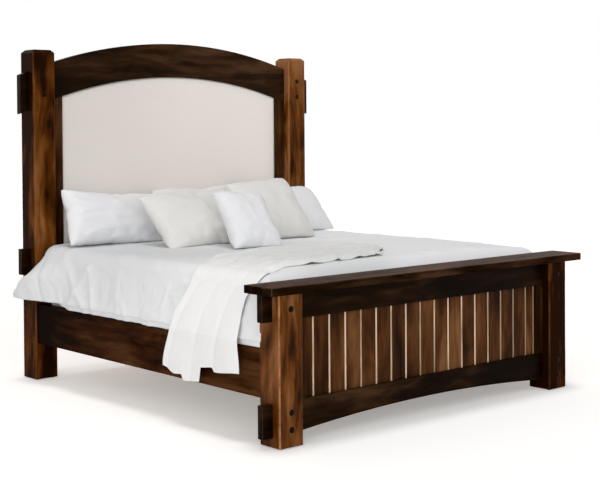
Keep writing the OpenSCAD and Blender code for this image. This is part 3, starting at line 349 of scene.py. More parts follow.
# The pieces that each timber paints, and its look where it isn't the usual one. Edge is the strength of the
# painted highlight on the eased upright edges. A stainAndShade is an axis and a list of (place, change of tone),
# and may name the face that it stays on; it is partly stain and partly painted shade and light, and on one face
# it is painted light and shade.
timbers = {
    "headLeftTimber": {
        "paints": ["head_post_left"], "tones": postTones, "gloss": 0.012, "shift": (0.3, 0.1, 0.2), "stainAndShade": [
            # Darker at the foot and the top and lighter in the middle; painted shade on the left face, darkest
            # above 0.65 m, and a touch on the front face low down.
            ("z", [(0.0, -0.22), (0.45, -0.1), (0.8, 0.18), (0.92, 0.22), (1.08, -0.1), (1.28, 0.03),
                   (1.4, 0.16), (1.65, 0.1), (1.95, -0.32)]),
            ("z", [(0.0, -0.08), (0.5, -0.14), (0.65, -0.48), (1.95, -0.48)], ("x", -1.04, -1.047)),
            ("z", [(0.0, 0.02), (0.5, -0.04), (0.65, 0.0)], ("y", 1.06, 1.052)),
        ],
    },
    "headRightTimber": {
        "paints": ["head_post_right"], "tones": postTones, "gloss": 0.06, "contrast": 1.25,
        "shift": (1.7, 0.4, 0.9), "stainAndShade": [
            ("z", [(0.0, 0.0), (1.1, 0.12), (1.5, 0.16), (1.7, 0.26), (1.95, 0.27)]),
            # Painted light: the inner face is lighter all the way up.
            ("z", [(0.0, 0.46), (1.95, 0.46)], ("x", 0.912, 0.903)),
        ],
    },
    "footLeftTimber": {
        "paints": ["foot_post_left"], "tones": postTones, "roughness": 0.32, "gloss": 0.08, "edge": 0.9,
        "contrast": 1.25, "shift": (6.3, 2.1, 1.4), "stainAndShade": [
            ("z", [(0.0, 0.04), (0.15, 0.0), (0.35, 0.06), (0.55, 0.14), (0.71, 0.22)]),
            # Painted light on the left face, lighter towards the top; painted shade near the left corner and the
            # front face's right edge. Its high edge value paints a strong highlight on its upright corners.
            ("z", [(0.0, 0.06), (0.3, 0.06), (0.45, 0.26), (0.71, 0.34)], ("x", -1.04, -1.047)),
            ("x", [(-1.036, -0.16), (-1.012, 0.0), (-0.935, 0.0), (-0.902, -0.25)]),
        ],
    },
    "footRightTimber": {
        "paints": ["foot_post_right"], "tones": postTones, "gloss": 0.01, "shift": (4.1, 2.2, 1.6),
        "stainAndShade": [("z", [(0.0, -0.28), (0.71, -0.38)])],
    },
    "archTimber": {
        "paints": ["arch_rail"], "tones": railTones, "grain": "x", "gloss": 0.05, "knots": 0.2, "edge": 0.3,
        "stainAndShade": [("x", [(-0.95, -0.16), (0.0, 0.02), (0.95, 0.12)])],
    },
    "railTimber": {
        "paints": ["head_lower_rail", "foot_top_rail", "foot_bottom_rail"], "tones": railTones, "grain": "x",
        "gloss": 0.03, "knots": 0.2, "edge": 0.25, "stainAndShade": [("x", [(-1.0, -0.06), (-0.3, -0.1), (1.0, -0.3)])],
    },
    "capTimber": {
        "paints": ["foot_cap"], "grain": "x", "gloss": 0.004, "knots": 0.2, "edge": 0.35, "coat": 0.0,
        "tones": [(0.006, 0.002, 0.0005), (0.014, 0.0056, 0.002), (0.03, 0.013, 0.0056), (0.076, 0.036, 0.018)],
        "stainAndShade": [("x", [(-1.1, -0.06), (1.1, -0.04)]),
                  # Painted reflection: the top face is much lighter, in place of the sheen of a glossy top.
                  ("x", [(-1.1, 0.42), (1.1, 0.46)], ("z", 0.744, 0.75))],
    },
    "stileTimber": {
        "paints": ["head_stile_left", "head_stile_right", "foot_stile_left", "foot_stile_right"],
        "tones": stileTones, "roughness": 0.36, "gloss": 0.03, "knots": 0.22,
    },
    "sideTimber": {
        "paints": ["side_rail_left", "side_rail_right"], "grain": "y", "roughness": 0.36, "gloss": 0.01,
        "knots": 0.34, "coat": 0.0,
        "tones": [(0.004, 0.001, 0.0001), (0.013, 0.0034, 0.0004), (0.034, 0.0098, 0.0018),
                  (0.09, 0.034, 0.011)],
        "stainAndShade": [("y", [(-1.05, 0.24), (-0.2, 0.12), (0.5, -0.11), (1.05, -0.26)])],
    },
    "plankTimber": {
        "paints": [f"foot_plank_{i:02d}" for i in range(1, planks["count"] + 1)], "byPlank": True,
        "roughness": 0.36, "gloss": 0.05, "knots": 0.3, "edge": 0.1, "contrast": 0.75,
        "tones": [(0.012, 0.0034, 0.0006), (0.045, 0.0138, 0.0028), (0.098, 0.0345, 0.0085), (0.23, 0.1, 0.038)],
        # Painted shade: darker at the top, under the top rail; also darker towards the right.
        "stainAndShade": [("z", [(0.19, 0.02), (0.45, 0.04), (0.6, -0.08)]), ("x", [(-0.7, 0.02), (0.8, -0.12)])],
    },
    "panelTimber": {
        "paints": ["head_back_panel"], "tones": stileTones, "roughness": 0.4, "gloss": 0.1, "knots": 0.22,
        "edge": 0.2,
    },
    "rawTimber": {**rawLook, "paints": ["rail_cleats", "centre_beam", "head_pad_board"], "grain": "y"},
    "slatTimber": {**rawLook, "paints": ["slats", "centre_leg_front", "centre_leg_rear"], "grain": "x"},
    "pegTimber": {
        "paints": ["head_pegs", "foot_pegs"], "grain": "y", "roughness": 0.24, "gloss": 0.04, "knots": 0.0,
        "edge": 0.0, "coat": 0.04,
        "tones": [(0.0035, 0.0016, 0.001), (0.006, 0.0028, 0.0016), (0.011, 0.005, 0.0028),
                  (0.022, 0.01, 0.006)],
    },
    # The strips' pale colour is partly pale wood and partly a painted highlight on the bevels of the plank
    # joints; it fades darker towards the right.
    "paleStripHighlight": {
        "paints": ["foot_strips"], "roughness": 0.42, "gloss": 0.2, "knots": 0.0, "edge": 0.0,
        "tones": [(0.34, 0.235, 0.15), (0.56, 0.395, 0.265), (0.8, 0.585, 0.4), (0.9, 0.71, 0.53)],
        "stainAndShade": [("x", [(-0.85, 0.0), (0.0, -0.12), (0.85, -0.42)])],
    },
}
steel = {
    "paints": ["rail_hook_plates", "post_hook_plates", "wood_screws", "leveller_front", "leveller_rear"],
    "colour": (0.62, 0.6, 0.55), "roughness": 0.36,
}
glides = {"paints": ["post_glides"], "colour": (0.03, 0.03, 0.032)}
for name, look in timbers.items():
    paintTimber(name, **look)
paintMetal("platedSteel", **steel)
paintPlastic("glidePlastic", **glides)
print("timber and fittings painted")


def addObject(name, data):
    made = bpy.data.objects.new(name, data)
    scene.collection.objects.link(made)
    return made


def meshObject(name, build):
    mesh = bpy.data.meshes.new(name)
    build.to_mesh(mesh)
    build.free()
    return addObject(name, mesh)


# Makes a piece that rides on the bedstead in place of a CAD node
def addPiece(name, build, material, node):
    build.normal_update()
    piece = meshObject(name, build)
    piece.data.materials.append(material)
    for face in piece.data.polygons:
        face.use_smooth = True
    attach(piece, "bedstead")
    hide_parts(node)
    return piece


def addShell(piece, thick, offset):
    shell = piece.modifiers.new("shell", "SOLIDIFY")
    shell.thickness = thick
    shell.offset = offset
    return shell


def gridOf(columns, rows, place):
    build = bmesh.new()
    bmesh.ops.create_grid(build, x_segments=columns, y_segments=rows, size=0.5)
    for vertex in build.verts:
        vertex.co = Vector(place(vertex.co.x + 0.5, vertex.co.y + 0.5))
    return build


def fractal(x, y, seed):
    total, size, weight = 0.0, 1.0, 0.0
    for octave in range(3):
        total += size * noise.noise(Vector((x * 2 ** octave, y * 2 ** octave, seed + 7.1 * octave)))
        weight += size
        size *= 0.5
    return total / weight


# Soft ridges where a noise field crosses zero, as creases in cloth run
def crease(x, y, seed, width=0.35):
    value = noise.noise(Vector((x, y, seed)))
    return math.exp(-(value / width) ** 2 * 4)


# The cross-section is a flat top, a rounded edge about (flat, zc) and a hanging side. A fold of
# the side is (place at the top, place at the hem, height, width).
duvet = {
    "flat": 0.915, "zc": 0.703, "radius": 0.0504, "loft": 0.022, "arc": 75.0, "slope": 15.0, "hem": 0.474,
    "crown": 0.026, "swellEnds": ((0.1525, 0.7), (-1.0505, 0.171)),  # each an end and the run up from it
    "yc": -0.9435, "tuck": 57.0, "tuckRun": 0.057, "tuckSwell": 1.024, "tuckLoft": 0.3,
    "head": 1.042, "flap": 0.14, "flapRows": 9, "flapTop": 0.42, "flapLow": 0.9,
    "flare": 1.1, "flareFrom": 0.721, "flareRun": 0.31, "flareLow": 0.02,
    "atPost": -0.93, "drawnIn": 0.03,  # at the footboard post
    "wrinkle": 1.3, "fold": 0.01, "folds": [
        (1.01, 0.905, -0.016, 0.06), (0.8, 0.48, 0.016, 0.075), (0.52, 0.64, 0.011, 0.06),
        (0.54, 0.4, 0.012, 0.06), (0.25, 0.16, 0.007, 0.08), (-0.4, -0.13, 0.014, 0.055),
    ],
    "thick": 0.016, "lip": 0.026, "lipRise": 0.02, "lipIn": 0.007, "lipEnd": 0.8,
    "cloth": {
        "colour": (0.82, 0.828, 0.84), "deep": (0.78, 0.79, 0.805), "threads": 900, "roughness": 0.84,
        "sheen": 0.1, "slub": 0.25, "bump": 0.1,
        # Painted shade: darker in front of the pillows, down the left side towards the head, near the foot left
        # of the middle, and a little in the middle of the top.
        "paintedShade": [((-0.55, 0.25, 0.8), 0.25, 0.85, 0.6), ((-1.05, 1.15, 0.6), 0.2, 1.4, 0.55),
                  ((-0.45, -0.9, 0.8), 0.1, 0.5, 0.45), ((0.1, 0.1, 0.8), 0.1, 0.45, 0.2)],
    },
}
bedTop = duvet["zc"] + duvet["radius"] + duvet["loft"]
edgeRadius = duvet["radius"] + duvet["loft"]
edgeTurn = math.radians(duvet["arc"])
sideSlope = math.radians(duvet["slope"])
sideTop = duvet["zc"] + edgeRadius * math.cos(edgeTurn)
sideHem = duvet["hem"] + duvet["loft"] * math.sin(sideSlope)
edgeEnd = duvet["flat"] + edgeRadius * edgeTurn
halfCut = edgeEnd + (sideTop - sideHem) / math.cos(sideSlope)


# Rise of the duvet's top: it swells towards the foot, and lies flat under the pillows
def puff(x, y):
    across = 1 - min(1.0, abs(x) / duvet["flat"]) ** 4
    (headEnd, headRun), (footEnd, footRun) = duvet["swellEnds"]
    return duvet["crown"] * across * smooth((headEnd - y) / headRun) * smooth((y - footEnd) / footRun)


# Small unevenness of the duvet, outward from its smooth form
def ruffle(x, y):
    warp = 0.1 * fractal(x * 1.7, y * 1.7, 3.3)
    low = 0.5 + 0.5 * fractal((x + warp) * 2.3, (y - warp) * 2.3, 1.2)
    lines = crease((x * 0.55 + y * 0.85 + warp) * 4.6, (x * 0.85 - y * 0.55) * 1.5, 5.7)
    fine = crease((x - y + warp) * 7.0, (x + y) * 3.0, 8.9)
    return duvet["wrinkle"] * (0.0035 * low + 0.0045 * lines + 0.0022 * fine)


def sideWave(y, side):
    return 0.5 + 0.28 * wave(y * 1500 + side * 70) + 0.22 * wave(y * 830 + side * 20)


# Creases of the hanging sides: slanted ones near the headboard, upright ones elsewhere
def hangFold(side, s, y):
    lean = 0.16 * smooth((y - 0.2) / 0.8)
    place = y + lean * (s - 0.3) + 0.05 * fractal(y * 3, s * 1.2, 4.4 + side)
    main = crease(place * 6.2, 1.3 * s, 2.2 + side, 0.3)
    fine = crease(place * 13.0 + 3.0, 2.0 * s, 6.1 + side, 0.3)
    total = (0.006 * main + 0.0026 * fine) * smooth(s / 0.45)
    for top, hem, high, width in duvet["folds"]:
        off = y - mix(top, hem, s)
        fall = math.exp(off / (0.25 * width)) if off < 0 else math.exp(-off / width)
        total += high * fall * smooth(s / 0.12)
    return total * duvet["wrinkle"]


# Point of the duvet's outer face. run is the distance from the middle across the top and
# down the side, y the place along the bed, and s the share of the hanging side.
def duvetPoint(run, y):
    side = -1 if run < 0 else 1
    reach = abs(run)
    past = max(0.0, duvet["yc"] - y)
    share = min(1.0, past / duvet["tuckRun"])
    bend = math.radians(duvet["tuck"]) * share
    thinned = (duvet["radius"] * mix(1, duvet["tuckSwell"], min(1.0, share * 6))
               + duvet["loft"] * mix(1, duvet["tuckLoft"], share))
    yy = y if past == 0 else duvet["yc"] - thinned * math.sin(bend)
    if reach <= duvet["flat"]:
        rise = (puff(reach, yy) + ruffle(side * reach, yy) * (1 - share)) if share < 1 else 0.0
        radius = (edgeRadius if past == 0 else thinned) + rise * (1 - share)
        return Vector((side * reach, yy, duvet["zc"] + radius * math.cos(bend)))
    edge = ruffle(side * reach, yy) * (1 - share)
    if reach <= edgeEnd:
        angle = (reach - duvet["flat"]) / edgeRadius
        radius = mix(edgeRadius, thinned, share) + edge
        rise = radius * math.cos(angle)
        if past:
            rise = min(rise, thinned * math.cos(bend))
        return Vector((side * (duvet["flat"] + radius * math.sin(angle)), yy, duvet["zc"] + rise))
    topX = duvet["flat"] + edgeRadius * math.sin(edgeTurn)
    down = (reach - edgeEnd) * math.cos(sideSlope)
    s = down / (sideTop - sideHem)
    x = topX + down * math.tan(sideSlope)
    ease = min(1.0, s / duvet["flapTop"]) ** 0.85
    goal = mix(topX, duvet["flare"], ease) + duvet["flareLow"] * max(0.0, s - 0.45)
    swing = max(0.0, goal - x) * smooth((y - duvet["flareFrom"]) / duvet["flareRun"])
    yy -= duvet["drawnIn"] * smooth((duvet["atPost"] - y) / 0.06) * smooth(s / 0.3)
    fold = duvet["fold"] * sideWave(y, side) * smooth(s / 0.8)
    hang = hangFold(side, s, y)
    return Vector((side * (x + swing + fold + hang + edge * (1 - 0.5 * s)), yy, sideTop - down))


# Lengthens the hanging sides past the headboard's face, row by row
def addFlaps(build):
    head, step = duvet["head"], duvet["flap"] / duvet["flapRows"]
    low = edgeEnd + duvet["flapTop"] * (halfCut - edgeEnd) - 0.004
    edges = [e for e in build.edges if e.is_boundary and all(
        abs(v.co.y - head) < 1e-6 and abs(v.co.x) > low for v in e.verts)]
    for row in range(duvet["flapRows"]):
        made = bmesh.ops.extrude_edge_only(build, edges=edges)["geom"]
        edges = [e for e in made if isinstance(e, bmesh.types.BMEdge) and e.is_boundary and all(
            v in made and abs(v.co.y - (head + row * step)) < 1e-5 for v in e.verts)]
        for vertex in {v for e in edges for v in e.verts}:
            vertex.co.y = head + (row + 1) * step


# Strips inside the hem, which turn the duvet's edge under
def addLips(build, start):
    for side in (-1, 1):
        strip = bmesh.ops.create_grid(build, x_segments=4, y_segments=150, size=0.5)["verts"]
        for vertex in strip:
            y = mix(start, duvet["lipEnd"], vertex.co.y + 0.5)
            wide = duvet["lipRise"] + duvet["lip"] * smooth((duvet["lipEnd"] - y) / 0.12)
            drop = (vertex.co.x + 0.5) * wide
            inward = Vector((-side * (duvet["lipIn"] + 0.1 * drop), 0, duvet["lipRise"] - drop))
            vertex.co = duvetPoint(side * halfCut, y) + inward
        for face in {face for vertex in strip for face in vertex.link_faces}:
            face.normal_update()
            if face.normal.x * side < 0:
                face.normal_flip()


def makeDuvet():
    start = duvet["yc"] - duvet["tuckRun"]
    build = gridOf(228, 186, lambda u, v: ((2 * u - 1) * halfCut, mix(start, duvet["head"], v), 0))
    addFlaps(build)
    for vertex in build.verts:
        run, y = vertex.co.x, vertex.co.y
        t = max(0.0, (y - duvet["head"]) / duvet["flap"])
        if t > 0:
            s = (abs(run) - edgeEnd) / (halfCut - edgeEnd)
            top = mix(duvet["flapTop"], duvet["flapLow"], t ** 1.6)
            s = 1 - (1 - s) * (1 - top) / (1 - duvet["flapTop"])
            run = math.copysign(edgeEnd + s * (halfCut - edgeEnd), run)
        vertex.co = duvetPoint(run, y)
    firstLip = len(build.verts)
    addLips(build, start)
    cloth = clothMaterial("duvetCloth", **duvet["cloth"])
    piece = addPiece("duvet_cover", build, cloth, "duvet")
    group = piece.vertex_groups.new(name="thickness")
    for vertex in piece.data.vertices:
        past = max(0.0, duvet["yc"] - vertex.co.y)
        share = 0.35 if vertex.index >= firstLip else 1.0 - 0.62 * min(1.0, past / 0.04)
        group.add([vertex.index], share, "REPLACE")
    addShell(piece, duvet["thick"], -1).vertex_group = "thickness"
    return piece


# near and far are the places of the two long edges, from the hem (-1) over the bed's edge (0) to
# the end on top (1). end and hem are the places of the short edges, from near (0) to far (1).
throw = {
    "near": [(-1.0, -0.902), (-0.6, -0.89), (-0.22, -0.876), (0.0, -0.94), (0.27, -0.885), (0.5, -0.915),
             (0.7, -0.922), (1.0, -0.9)],
    "far": [(-1.0, -0.292), (-0.5, -0.362), (-0.1, -0.425), (0.03, -0.42), (0.2, -0.3), (0.45, -0.25),
            (0.7, -0.275), (1.0, -0.34)],
    "end": [(0.0, -0.13), (0.5, 0.11), (1.0, 0.03)],
    "hem": [(0.0, 0.32), (0.31, 0.303), (0.34, 0.322), (0.48, 0.312), (0.51, 0.238), (0.71, 0.228),
            (0.74, 0.256), (0.84, 0.252), (1.0, 0.28)],
    "hangs": 0.42, "turns": 0.5, "edgeAt": (-0.08, 0.06),  # shares of the length, and where they end
    "thick": 0.004, "gap": 0.004, "pleat": 0.01, "ridge": 0.03, "hangFolds": 3.2, "topFolds": 6.0,
    "corner": 0.009, "scallop": 0.01,
    "cloth": {
        "colour": (0.9, 0.905, 0.898), "deep": (0.86, 0.864, 0.856), "threads": 300, "roughness": 0.92,
        "sheen": 0.2, "slub": 0.4, "bump": 0.35, "distance": 0.001,
        # Painted shade on the throw's top, darkest towards its middle.
        "paintedShade": [((-0.25, -0.5, 0.8), 0.45, 0.75, 0.75)],
    },
}


# Height of a line through (place, value) pairs
def along(pairs, place, eased=True):
    if place <= pairs[0][0]:
        return pairs[0][1]
    for (a, low), (b, high) in zip(pairs, pairs[1:]):
        if place <= b:
            share = (place - a) / (b - a)
            return mix(low, high, smooth(share) if eased else share)
    return pairs[-1][1]


# Folds that run along the throw, round on top with narrow valleys
def throwFold(v, r):
    bent = v + 0.04 * math.sin(2.4 * r + 1.0) + 0.04 * fractal(r * 1.4, v * 2.0, 9.4)
    count = mix(throw["hangFolds"], throw["topFolds"], smooth((r + 0.15) / 0.7))
    ridge = abs(math.sin(math.pi * (bent * count + 0.1))) ** 0.6
    fine = abs(math.sin(math.pi * (bent * 2.3 * count + 0.5))) ** 0.7
    swell = 0.45 + 0.55 * smooth(0.5 + fractal(v * 3.1, r * 2.2, 2.7) * 1.6)
    share = 0.3 * smooth((r + 0.15) / 0.3)
    return ((1 - share) * ridge + share * fine) * swell


# Places where the near edge stands off the duvet
def throwLift(v, r):
    phase = 2 * math.pi * (r * 4.4 + 0.58) + 1.6 * math.sin(11 * r) + 2.0 * fractal(r * 6, 0.3, 6.2)
    scallop = max(0.0, math.sin(phase)) ** 1.4
    return scallop * max(0.0, 1 - v / 0.09) * smooth((r - 0.1) / 0.1)


# Point of the throw: v runs from its near edge to its far one, and w from its hem to its end
def throwPoint(v, w):
    hangs, turns = throw["hangs"], throw["turns"]
    outer = edgeRadius + throw["gap"]
    topZ = duvet["zc"] + outer * math.cos(edgeTurn)
    topX = duvet["flat"] + outer * math.sin(edgeTurn)
    r = along([(0, -1), (hangs, throw["edgeAt"][0]), (turns, throw["edgeAt"][1]), (1, 1)], w, False)
    y = mix(along(throw["near"], r), along(throw["far"], r), v)
    if w < hangs:
        s = 1 - w / hangs
        z = mix(topZ, along(throw["hem"], v), s)
        down = topZ - z
        hug = topX + min(down, topZ - duvet["hem"]) * math.tan(sideSlope)
        room = 0.018 * smooth(down / 0.2) + 0.012
        lift = throw["pleat"] * (0.5 + 0.5 * smooth(s / 0.5)) * throwFold(v, r)
        return Vector((-(hug + room + lift), y, z))
    if w < turns:
        angle = edgeTurn * (turns - w) / (turns - hangs)
        radius = outer + mix(0.004, 0.008, math.sin(angle)) + throw["pleat"] * 0.5 * throwFold(v, 0)
        return Vector((-(duvet["flat"] + radius * math.sin(angle)), y, duvet["zc"] + radius * math.cos(angle)))
    x = mix(-duvet["flat"], along(throw["end"], v), (w - turns) / (1 - turns))
    ground = bedTop + puff(x, y) + ruffle(x, y)
    edge = smooth(v / 0.1) * smooth((1 - v) / 0.1) * smooth((1 - r) / 0.05)
    lift = mix(throw["pleat"] * 0.5, throw["ridge"], smooth(r * 4)) * throwFold(v, r) * mix(0.15, 1.0, edge)
    turned = throw["corner"] * smooth((r - 0.91) / 0.03) * smooth((0.4 - v) / 0.08)
    rise = mix(0.006, 0.003, smooth(r * 8)) + lift + turned + throw["scallop"] * throwLift(v, r)
    return Vector((x, y, ground + rise))


def makeThrow():
    cloth = clothMaterial("throwCloth", **throw["cloth"])
    piece = addPiece("throw_blanket", gridOf(120, 240, throwPoint), cloth, "throw")
    addShell(piece, throw["thick"], 1)
    return piece


# The arch values are those of the arched rail: its outer edge's rise, half width and crown
upholstery = {
    "half": 0.8245, "bottom": 0.767, "face": 1.118, "back": 1.129, "crown": 0.014, "roll": 0.1,
    "archRise": 0.141, "archHalf": 0.9015, "archCrown": 1.992, "archDepth": 0.208, "gap": 0.002,
    "cloth": {
        "colour": (0.9, 0.845, 0.805), "deep": (0.86, 0.8, 0.755), "threads": 420, "roughness": 0.86,
        # Painted shade towards the upper left of the panel.
        "sheen": 0.1, "bump": 0.15, "paintedShade": [((-0.75, 1.1, 1.75), 0.15, 1.0, 0.4)],
    },
}


# Height of the arched rail's inner edge, less the gap
def archInside(x):
    rise, half = upholstery["archRise"], upholstery["archHalf"]
    radius = (half ** 2 + rise ** 2) / (2 * rise)
    inner = radius - upholstery["archDepth"] - upholstery["gap"]
    return upholstery["archCrown"] - radius + math.sqrt(inner ** 2 - x * x)


def makeUpholstery():
    def rounded(inward):
        share = min(1.0, inward / upholstery["roll"])
        return math.sqrt(max(0.0, 1 - (1 - share) ** 2.2))

    def place(u, v):
        across = 2 * u - 1
        x = across * upholstery["half"]
        high = archInside(x)
        roll = (rounded((1 - abs(across)) * upholstery["half"])
                * rounded(min(v, 1 - v) * (high - upholstery["bottom"])))
        broad = (1 - abs(across) ** 4) * (1 - abs(2 * v - 1) ** 4)
        lift = upholstery["crown"] * (0.75 * roll + 0.25 * broad)
        return (x, upholstery["face"] - lift, mix(upholstery["bottom"], high, v))

    build = gridOf(120, 78, place)
    made = bmesh.ops.extrude_edge_only(build, edges=[e for e in build.edges if e.is_boundary])["geom"]
    for vertex in [g for g in made if isinstance(g, bmesh.types.BMVert)]:
        vertex.co.y = upholstery["back"]
    bmesh.ops.contextual_create(build, geom=[e for e in build.edges if e.is_boundary])
    bmesh.ops.recalc_face_normals(build, faces=build.faces)
    cloth = clothMaterial("panelCloth", **upholstery["cloth"])
    return addPiece("headboard_cushion", build, cloth, "head_upholstery")


mattress = {
    "half": 0.965, "y": (-0.9935, 1.0385), "z": (0.503, 0.753), "corner": 0.07, "edge": 0.05,
    "cloth": {"colour": (0.8, 0.8, 0.79), "deep": (0.74, 0.74, 0.74), "threads": 500, "roughness": 0.86,
              "sheen": 0.1},
}
bases = {
    "half": 0.965, "inner": 0.0004, "y": (-0.9935, 1.0385), "z": (0.274, 0.503), "corner": 0.04, "edge": 0.012,
}


# Block with rounded upright corners and eased top and bottom edges
def softBlock(xs, facts):
    def ease(edges, width, segments):
        bmesh.ops.bevel(build, geom=edges, offset=width, offset_type="OFFSET", affect="EDGES",
                        segments=segments, profile=0.5, material=-1)

    build = bmesh.new()
    bmesh.ops.create_cube(build, size=1.0)
    for vertex in build.verts:
        vertex.co = Vector([ends[0] if vertex.co[k] < 0 else ends[1]
                            for k, ends in enumerate((xs, facts["y"], facts["z"]))])
    upright = [e for e in build.edges if abs(e.verts[0].co.z - e.verts[1].co.z) > 1e-4]
    ease(upright, facts["corner"], 6)
    level = [e for e in build.edges if abs(e.verts[0].co.z - e.verts[1].co.z) < 1e-6
             and any(abs(f.normal.z) > 0.9 for f in e.link_faces)
             and any(abs(f.normal.z) < 0.1 for f in e.link_faces)]
    ease(level, facts["edge"], 5)
    return build


def makeMattress(cloth):
    build = softBlock((-mattress["half"], mattress["half"]), mattress)
    return addPiece("mattress_body", build, cloth, "mattress")


def makeBase(name, cloth):
    xs = (bases["inner"], bases["half"]) if name == "right" else (-bases["half"], -bases["inner"])
    return addPiece("base_" + name, softBlock(xs, bases), cloth, "foundation_" + name)


# size is width, height and thickness. pose is turn, lean and roll, and at is where the bottom
# edge stands. firm is the share of an evenly filled form, and square how far the sides are let
# out. A plane keeps the pillow "before" a place in Y, "left" or "right" of one in X, or in "front"
# of or "behind" a plane that leans back from its place on the duvet.
pillows = {
    "pillow_back_left": {
        "size": (0.712, 0.356, 0.2), "pose": (2, 25, -5), "at": (-0.592, 0.819),
        "tint": "cool", "firm": 0.3, "square": 0.5,
        "planes": [("before", 1.051), ("left", -0.2489), ("behind", 0.64, 35)],
    },
    "pillow_back_centre": {
        "size": (0.692, 0.388, 0.18), "pose": (1, 36, 1), "at": (0.1153, 0.829),
        "tint": "cream", "firm": 0.6, "square": 0.8,
        "planes": [("before", 1.104), ("right", -0.2489), ("left", 0.4227), ("behind", 0.64, 35)],
    },
    "pillow_back_right": {
        "size": (0.642, 0.391, 0.18), "pose": (1, 44, 0), "at": (0.7064, 0.725),
        "tint": "cool", "firm": 0.6, "square": 1.2,
        "planes": [("before", 1.051), ("right", 0.4227), ("behind", 0.545, 42)],
    },
    "pillow_front_left": {
        "size": (0.68, 0.452, 0.19), "pose": (-1, 49, 0), "at": (-0.22, 0.372),
        "tint": "cream", "firm": 0.65, "square": 0.8,
        "planes": [("front", 0.64, 35), ("left", 0.045), ("behind", 0.215, 42)],
    },
    "pillow_front_right": {
        "size": (0.5, 0.465, 0.18), "pose": (-1, 39, 3.3), "at": (0.301, 0.38),
        "tint": "cream", "firm": 0.8, "square": 0.9,
        "planes": [("front", 0.545, 42), ("right", 0.045), ("behind", 0.215, 42)],
    },
    "pillow_front_centre": {
        "size": (0.338, 0.43, 0.15), "pose": (-2, 43, -7), "at": (-0.166, 0.062),
        "tint": "cool", "firm": 0.8, "square": 0.9,
        "planes": [("front", 0.215, 42)],
    },
}
pillowCloth = {
    "cool": {"colour": (0.79, 0.792, 0.806), "deep": (0.75, 0.755, 0.77), "threads": 900, "roughness": 0.84,
             "sheen": 0.1, "slub": 0.25, "bump": 0.1},
    "cream": {"colour": (0.735, 0.727, 0.702), "deep": (0.7, 0.69, 0.664), "threads": 700,
              "roughness": 0.86, "sheen": 0.15, "slub": 0.4},
}
# How the cases are cut, blown up and set down
filling = {
    "ease": (1.06, 1.08), "cell": 0.016, "quickCell": 0.022, "seam": 0.03, "start": 0.01, "wobble": 0.004,
    "frames": 24, "sink": 0.012, "overDuvet": 0.004, "gap": 0.002,
    "settings": {
        "quality": 6, "mass": 0.25, "tension_stiffness": 18, "compression_stiffness": 12, "shear_stiffness": 6,
        "bending_stiffness": 0.25, "use_pressure": True, "uniform_pressure_force": 5.0,
    },
}


# A pillow case as cut, two faces joined at the seam: width X, height Y, thickness Z
def flatCase(width, height, step):
    columns, rows = max(8, round(width / step)), max(8, round(height / step))
    build = gridOf(columns, rows, lambda u, v: ((u - 0.5) * width, (v - 0.5) * height, 0))
    under = bmesh.ops.duplicate(build, geom=build.verts[:] + build.edges[:] + build.faces[:])["geom"]
    bmesh.ops.reverse_faces(build, faces=[g for g in under if isinstance(g, bmesh.types.BMFace)])
    lower = {g for g in under if isinstance(g, bmesh.types.BMVert)}
    for vertex in build.verts:
        near = min(width / 2 - abs(vertex.co.x), height / 2 - abs(vertex.co.y))
        if near > 1e-5:
            lift = filling["start"] * min(1.0, near / filling["seam"])
            wobble = filling["wobble"] * fractal(vertex.co.x * 9, vertex.co.y * 9, width * 31)
            vertex.co.z = (-lift if vertex in lower else lift) + wobble
        else:
            vertex.co.z = 0.0
    bmesh.ops.remove_doubles(build, verts=build.verts, dist=1e-5)
    return build


# Blows the case up, and says where each of its points lies on the cut, from -1 to 1
def blowUp(name, size):
    width, height = size[0] * filling["ease"][0], size[1] * filling["ease"][1]
    build = flatCase(width, height, filling["cell"])
    cut = [(2 * v.co.x / width, 2 * v.co.y / height, math.copysign(1, v.co.z)) for v in build.verts]
    case = meshObject(name + "_cut", build)
    cloth = case.modifiers.new("cloth", "CLOTH")
    for key, value in filling["settings"].items():
        setattr(cloth.settings, key, value)
    cloth.settings.effector_weights.gravity = 0.0
    cloth.point_cache.frame_start = 1
    cloth.point_cache.frame_end = filling["frames"]
    for number in range(1, filling["frames"] + 1):
        scene.frame_set(number)
    shown = case.evaluated_get(bpy.context.evaluated_depsgraph_get())
    shape = bmesh.new()
    shape.from_mesh(shown.data)
    scene.frame_set(1)
    mesh = case.data
    bpy.data.objects.remove(case)
    bpy.data.meshes.remove(mesh)
    return shape, cut


# Point of an evenly filled pillow. u and v run over its face, and side tells front from back.
def plainPoint(u, v, side, size):
    width, height, thick = size
    full = (max(0.0, 1 - u ** 4) * max(0.0, 1 - v ** 4)) ** 0.55
    return Vector((u * width / 2 * (1 - 0.035 * (1 - v ** 4) * abs(u) ** 3),
                   v * height / 2 * (1 - 0.035 * (1 - u ** 4) * abs(v) ** 3), side * full * thick / 2))


def fitTo(build, size):
    low = [min(v.co[k] for v in build.verts) for k in range(3)]
    high = [max(v.co[k] for v in build.verts) for k in range(3)]
    for vertex in build.verts:
        for k in range(3):
            vertex.co[k] = (vertex.co[k] - (low[k] + high[k]) / 2) * size[k] / (high[k] - low[k])


# Lets out the sides that the filling has drawn in, by a share of how far they went
def letOut(build, size, share):
    for k, other in ((0, 1), (1, 0)):
        middle = max(abs(v.co[k]) for v in build.verts if abs(v.co[other]) < 0.04 * size[other])
        gain = share * (size[k] / 2 / middle - 1)
        for vertex in build.verts:
            u, v = 2 * vertex.co[k] / size[k], 2 * vertex.co[other] / size[other]
            vertex.co[k] *= 1 + gain * max(0.0, 1 - v ** 6) * u * u


